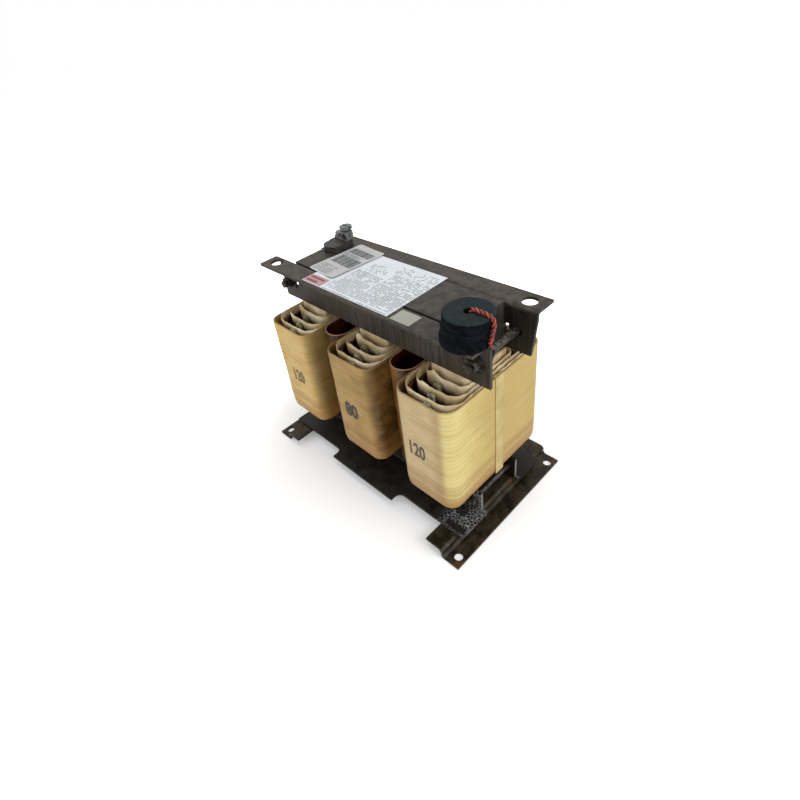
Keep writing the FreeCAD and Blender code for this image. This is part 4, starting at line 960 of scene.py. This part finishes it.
INK_LIFT = 0.06 * MM
ink_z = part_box("rating_label")[1][2] + INK_LIFT
blocks = []
for index, (x0, x1, y0, y1, cover) in enumerate((
        (-44, 45, -49, -44.5, 0.90), (-44, 46, -42, -33, 0.86), (-40, -4, -31, -20, 0.80), (0, 47, -31, -12, 0.84),
        (-40, -4, -17, -2, 0.72), (2, 47, -9, 10, 0.74), (-34, -8, 2, 16, 0.40), (-2, 46, 14, 26, 0.36))):
    width, depth = (x1 - x0) * MM, (y1 - y0) * MM
    blocks.append(printed(width, depth, max(4, int(width / (2.3 * MM))), max(2, int(depth / (1.8 * MM))), 0.9 * MM,
                          cover, 11 + index, ((x0 + x1) / 2 * MM, (y0 + y1) / 2 * MM, ink_z)))
add_piece("rating_print", join_meshes("rating_print", blocks), GREY_INK)
print("rating label printed in", len(blocks), "blocks")

# %% The lifted shipping label
film_low, film_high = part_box("tracking_label")
FILM_TURN, FILM_CUT, CURL, FILM_THICK = math.radians(-5.5), 3.5 * MM, 1.6 * MM, 0.25 * MM
FILM_MIDDLE = Vector((*middle_of(film_low, film_high)[:2], 0.0))


def on_film(x, y, lift):
    """Where a point of the flat shipping label lands once the label has been turned a little and has curled."""
    u, v = (x - film_low[0]) / (film_high[0] - film_low[0]), (y - film_low[1]) / (film_high[1] - film_low[1])
    rise = CURL * (max(0.0, u - 0.55) / 0.45) ** 2 * (0.45 + 0.55 * (1 - v))
    ripple = 0.25 * MM * noise.noise(Vector((x * 60, y * 60, 0.3))) * min(1.0, 4 * u)
    turned = Matrix.Rotation(FILM_TURN, 3, "Z") @ (Vector((x, y, 0.0)) - FILM_MIDDLE) + FILM_MIDDLE
    return (turned.x, turned.y, film_low[2] + rise + max(0.0, ripple) + lift)


def cut_corner(x, y):
    """Pulls the corners of a rectangle in to a radius."""
    dx = abs(x - FILM_MIDDLE.x) - (film_high[0] - film_low[0]) / 2 + FILM_CUT
    dy = abs(y - FILM_MIDDLE.y) - (film_high[1] - film_low[1]) / 2 + FILM_CUT
    if dx <= 0 or dy <= 0:
        return x, y
    pull = 1 - max(dx, dy) / math.hypot(dx, dy)
    return x - math.copysign(dx * pull, x - FILM_MIDDLE.x), y - math.copysign(dy * pull, y - FILM_MIDDLE.y)


def curled_sheet(name, rows=40, columns=32):
    """A thin closed sheet whose right and front edges rise a little."""
    rings = []
    for j in range(rows + 1):
        y = film_low[1] + (film_high[1] - film_low[1]) * j / rows
        row = [cut_corner(film_low[0] + (film_high[0] - film_low[0]) * i / columns, y) for i in range(columns + 1)]
        rings.append([on_film(*spot, 0.0) for spot in row] + [on_film(*spot, FILM_THICK) for spot in reversed(row)])
    return lofted(name, rings)


add_piece("shipping_label", curled_sheet("shipping_label"), FILM, ("tracking_label",))


def bars(name, finish, fields, spot, steps=6):
    """Flat fields of colour: each is (x0, y0, x1, y1) in millimetres, in strips that follow what they lie on."""
    strips = []
    for x0, y0, x1, y1 in fields:
        rungs = []
        for k in range(steps + 1):
            left, right = (Vector(spot(x * MM, (y0 + (y1 - y0) * k / steps) * MM)) for x in (x0, x1))
            rungs.append((left, right, right + INK_UP, left + INK_UP))
        strips.append(lofted(name, rungs, soft=False))
    add_piece(name, join_meshes(name, strips), finish)


PINK = label_finish("faded_print", (0.42, 0.235, 0.235), (0.50, 0.36, 0.36))
MAROON = ink_finish("maroon_ink", (0.20, 0.045, 0.050), (0.40, 0.24, 0.24))
bars("faded_patch", PINK, [(-75.5, -49.5, -48, -35.5)], lambda x, y: (x, y, ink_z))
bars("faded_bars", MAROON, [(-73, -41, -52, -38), (-73, -47.5, -57, -44)],
     lambda x, y: (x, y, ink_z + INK_LIFT))
random.seed(5)
fields = []
for y0, y1, x0, x1 in ((-6, 11, -83, -48), (19, 30, -84, -50)):
    x = x0
    while x < x1:
        wide = random.choice((0.5, 0.8, 1.2))
        fields.append((x, y0, x + wide, y1))
        x += wide + random.choice((0.4, 0.6, 0.9))
bars("shipping_bars", INK, fields, lambda x, y: on_film(x, y, FILM_THICK + 0.10 * MM))
LINE, PRINT_Z = 0.8 * MM, film_low[2] + FILM_THICK + 0.27 * MM
small = join_meshes("shipping_print", [printed(0.034, 0.014, 16, 7, LINE, 0.8, 31, (-0.068, -0.020, PRINT_Z)),
                                       printed(0.034, 0.004, 16, 3, LINE, 0.8, 32, (-0.067, 0.0145, PRINT_Z))])
turn = Matrix.Rotation(FILM_TURN, 4, "Z")
small.transform(Matrix.Translation(FILM_MIDDLE) @ turn @ Matrix.Translation(-FILM_MIDDLE))
add_piece("shipping_print", small, GREY_INK)
print("shipping label laid with", len(fields), "bars")

# %% [markdown]
# ## Coil numbers
# Each coil carries a plain number stamped in dark ink. A text object is turned into a mesh, laid flat on the
# front of the wrap and lifted by the thickness of the ink. The ink's finish breaks up where it has worn.

# %% Stamped numbers
def stamped(name, text, centre, height, bold):
    curve = bpy.data.curves.new(name, "FONT")
    curve.body = text
    curve.size = height * 1.38
    curve.align_x, curve.align_y = "CENTER", "CENTER"
    curve.extrude = 0.08 * MM
    curve.offset = bold * MM
    mesh = made_plain(put(name + "_carrier", curve))
    mesh.transform(Matrix.Diagonal((0.62 if len(text) > 2 else 0.78, 1.0, 1.0, 1.0)))
    mesh.transform(Matrix.Rotation(math.radians(90), 4, "X"))
    mesh.transform(Matrix.Translation(centre))
    return mesh


STAMPS = ((1, "120", 2, 58, 17, 0.65, (0.17, 0.125, 0.070), (0.42, 0.30, 0.12)),
          (2, "80", -3, 56, 18, 0.95, (0.035, 0.030, 0.024), (0.20, 0.14, 0.07)),
          (3, "120", -8, 59, 17, 0.75, (0.070, 0.058, 0.044), (0.30, 0.22, 0.12)))
for number, text, shift, level, tall, bold, ink, worn in STAMPS:
    low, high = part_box("coil_%d_wrap" % number)
    spot = ((low[0] + high[0]) / 2 + shift * MM, low[1] + 0.05 * MM, low[2] + level * MM)
    name = "coil_%d_number" % number
    finish = ink_finish("stamp_ink_%d" % number, ink, worn)
    add_piece(name, stamped(name, text, spot, tall * MM, bold), finish)
print("numbers stamped")

# %% [markdown]
# ## Tie tape
# A woven tape is tied round the right coil. It shows as a band over the front of the wrap. The CAD piece stays
# as it is, and a fine weave goes into its finish, because the threads are too small to model.

# %% Tie tape
def tape_finish():
    f = Finish("tie_tape", roughness=0.6, coat=0.15)
    weave = f.math("SINE", f.times(f.z, 2 * math.pi / (1.2 * MM)))
    cloud = f.grain(60.0, detail=5.0)
    tone = f.mix(f.ramp(cloud, 0.3, 0.7), (0.46, 0.34, 0.115), (0.62, 0.49, 0.20))
    f.colour(f.mix(f.ramp(weave, 0.4, 1.0, 0.0, 0.25), tone, (0.34, 0.22, 0.08)))
    f.bump(f.plus(weave, cloud), 0.3, 0.0003)
    return f


dress(nodes_cad["coil_3_tape"], tape_finish())
print("tape finished")

# %% [markdown]
# ## Floor, light and camera
# A pale floor and soft light show the part plainly. The world is white for the camera and for reflections, and
# dimmer as a light. The camera stands where the photograph was taken: its place, tilt and lens were solved
# from the corners of the feet and brackets.

# %% Floor
def floor_finish():
    """Pale floor that fades into the white background a short way from the part."""
    f = Finish("studio_floor", roughness=0.95, specular=0.1)
    cloud = f.grain(3.0, detail=2.0)
    away = f.length(f.x, f.y)
    fade = f.ramp(away, 0.17, 0.34)
    seen = f.node("ShaderNodeLightPath").outputs["Is Camera Ray"]
    f.colour(f.mix(cloud, (0.88, 0.88, 0.88), (0.92, 0.92, 0.92)))
    f.feed(f.shader.inputs["Emission Color"], (1.0, 1.0, 1.0))
    f.feed(f.shader.inputs["Emission Strength"], f.times(seen, f.plus(0.22, f.times(fade, 0.9))))
    return f


FLOOR = 6.0
floor_mesh = bpy.data.meshes.new("floor")
corners = [(x * FLOOR, y * FLOOR, 0) for x, y in ((-1, -1), (1, -1), (1, 1), (-1, 1))]
floor_mesh.from_pydata(corners, [], [(0, 1, 2, 3)])
floor = put("floor", floor_mesh)
dress(floor, floor_finish())

# %% World
WORLD_LIGHT = 0.55
world = bpy.data.worlds.new("studio")
bpy.context.scene.world = world
world.use_nodes = True
sky = Wiring(world.node_tree)
rays = sky.node("ShaderNodeLightPath").outputs
shown = rays["Is Camera Ray"]
for kind in ("Is Glossy Ray", "Is Transmission Ray"):
    shown = sky.math("MAXIMUM", shown, rays[kind])
dim, white = (sky.node("ShaderNodeBackground", {"Color": (1.0, 1.0, 1.0), "Strength": strength}).outputs[0]
              for strength in (WORLD_LIGHT, 1.0))
blend = sky.node("ShaderNodeMixShader", {0: shown, 1: dim, 2: white})
sky.node("ShaderNodeOutputWorld", {"Surface": blend.outputs[0]})


def area_light(name, place, target, size, watts):
    lamp = bpy.data.lights.new(name, "AREA")
    lamp.energy = watts
    lamp.size = size
    obj = put(name, lamp)
    obj.location = place
    obj.rotation_mode = "QUATERNION"
    obj.rotation_quaternion = (Vector(target) - Vector(place)).to_track_quat("-Z", "Y")


MIDDLE = (0.0, 0.0, 0.12)
area_light("key_right", (1.3, 0.15, 0.9), MIDDLE, 0.9, 9.5)
area_light("fill_front", (-0.5, -1.5, 0.8), MIDDLE, 1.2, 6.5)
area_light("top_soft", (0.0, 0.2, 1.6), MIDDLE, 1.2, 7.0)
print("world and lights set")

# %% Camera
FOCAL_PX, FRAME_PX, SENSOR = 526.57, 800.0, 36.0
CENTRE_PX = (382.30, 344.15)
camera_data = bpy.data.cameras.new("camera")
camera_data.sensor_width = SENSOR
camera_data.lens = FOCAL_PX / FRAME_PX * SENSOR
camera_data.shift_x = (FRAME_PX / 2 - CENTRE_PX[0]) / FRAME_PX
camera_data.shift_y = (CENTRE_PX[1] - FRAME_PX / 2) / FRAME_PX
camera = put("camera", camera_data)
camera.location = (0.35110, -0.30732, 0.47674)
camera.rotation_euler = [math.radians(a) for a in (55.3266, 6.9854, 45.8393)]
bpy.context.scene.camera = camera
bpy.context.scene.view_settings.view_transform = "Standard"
print("camera placed")

# %% Bring the scene up to date
bpy.context.view_layer.update()
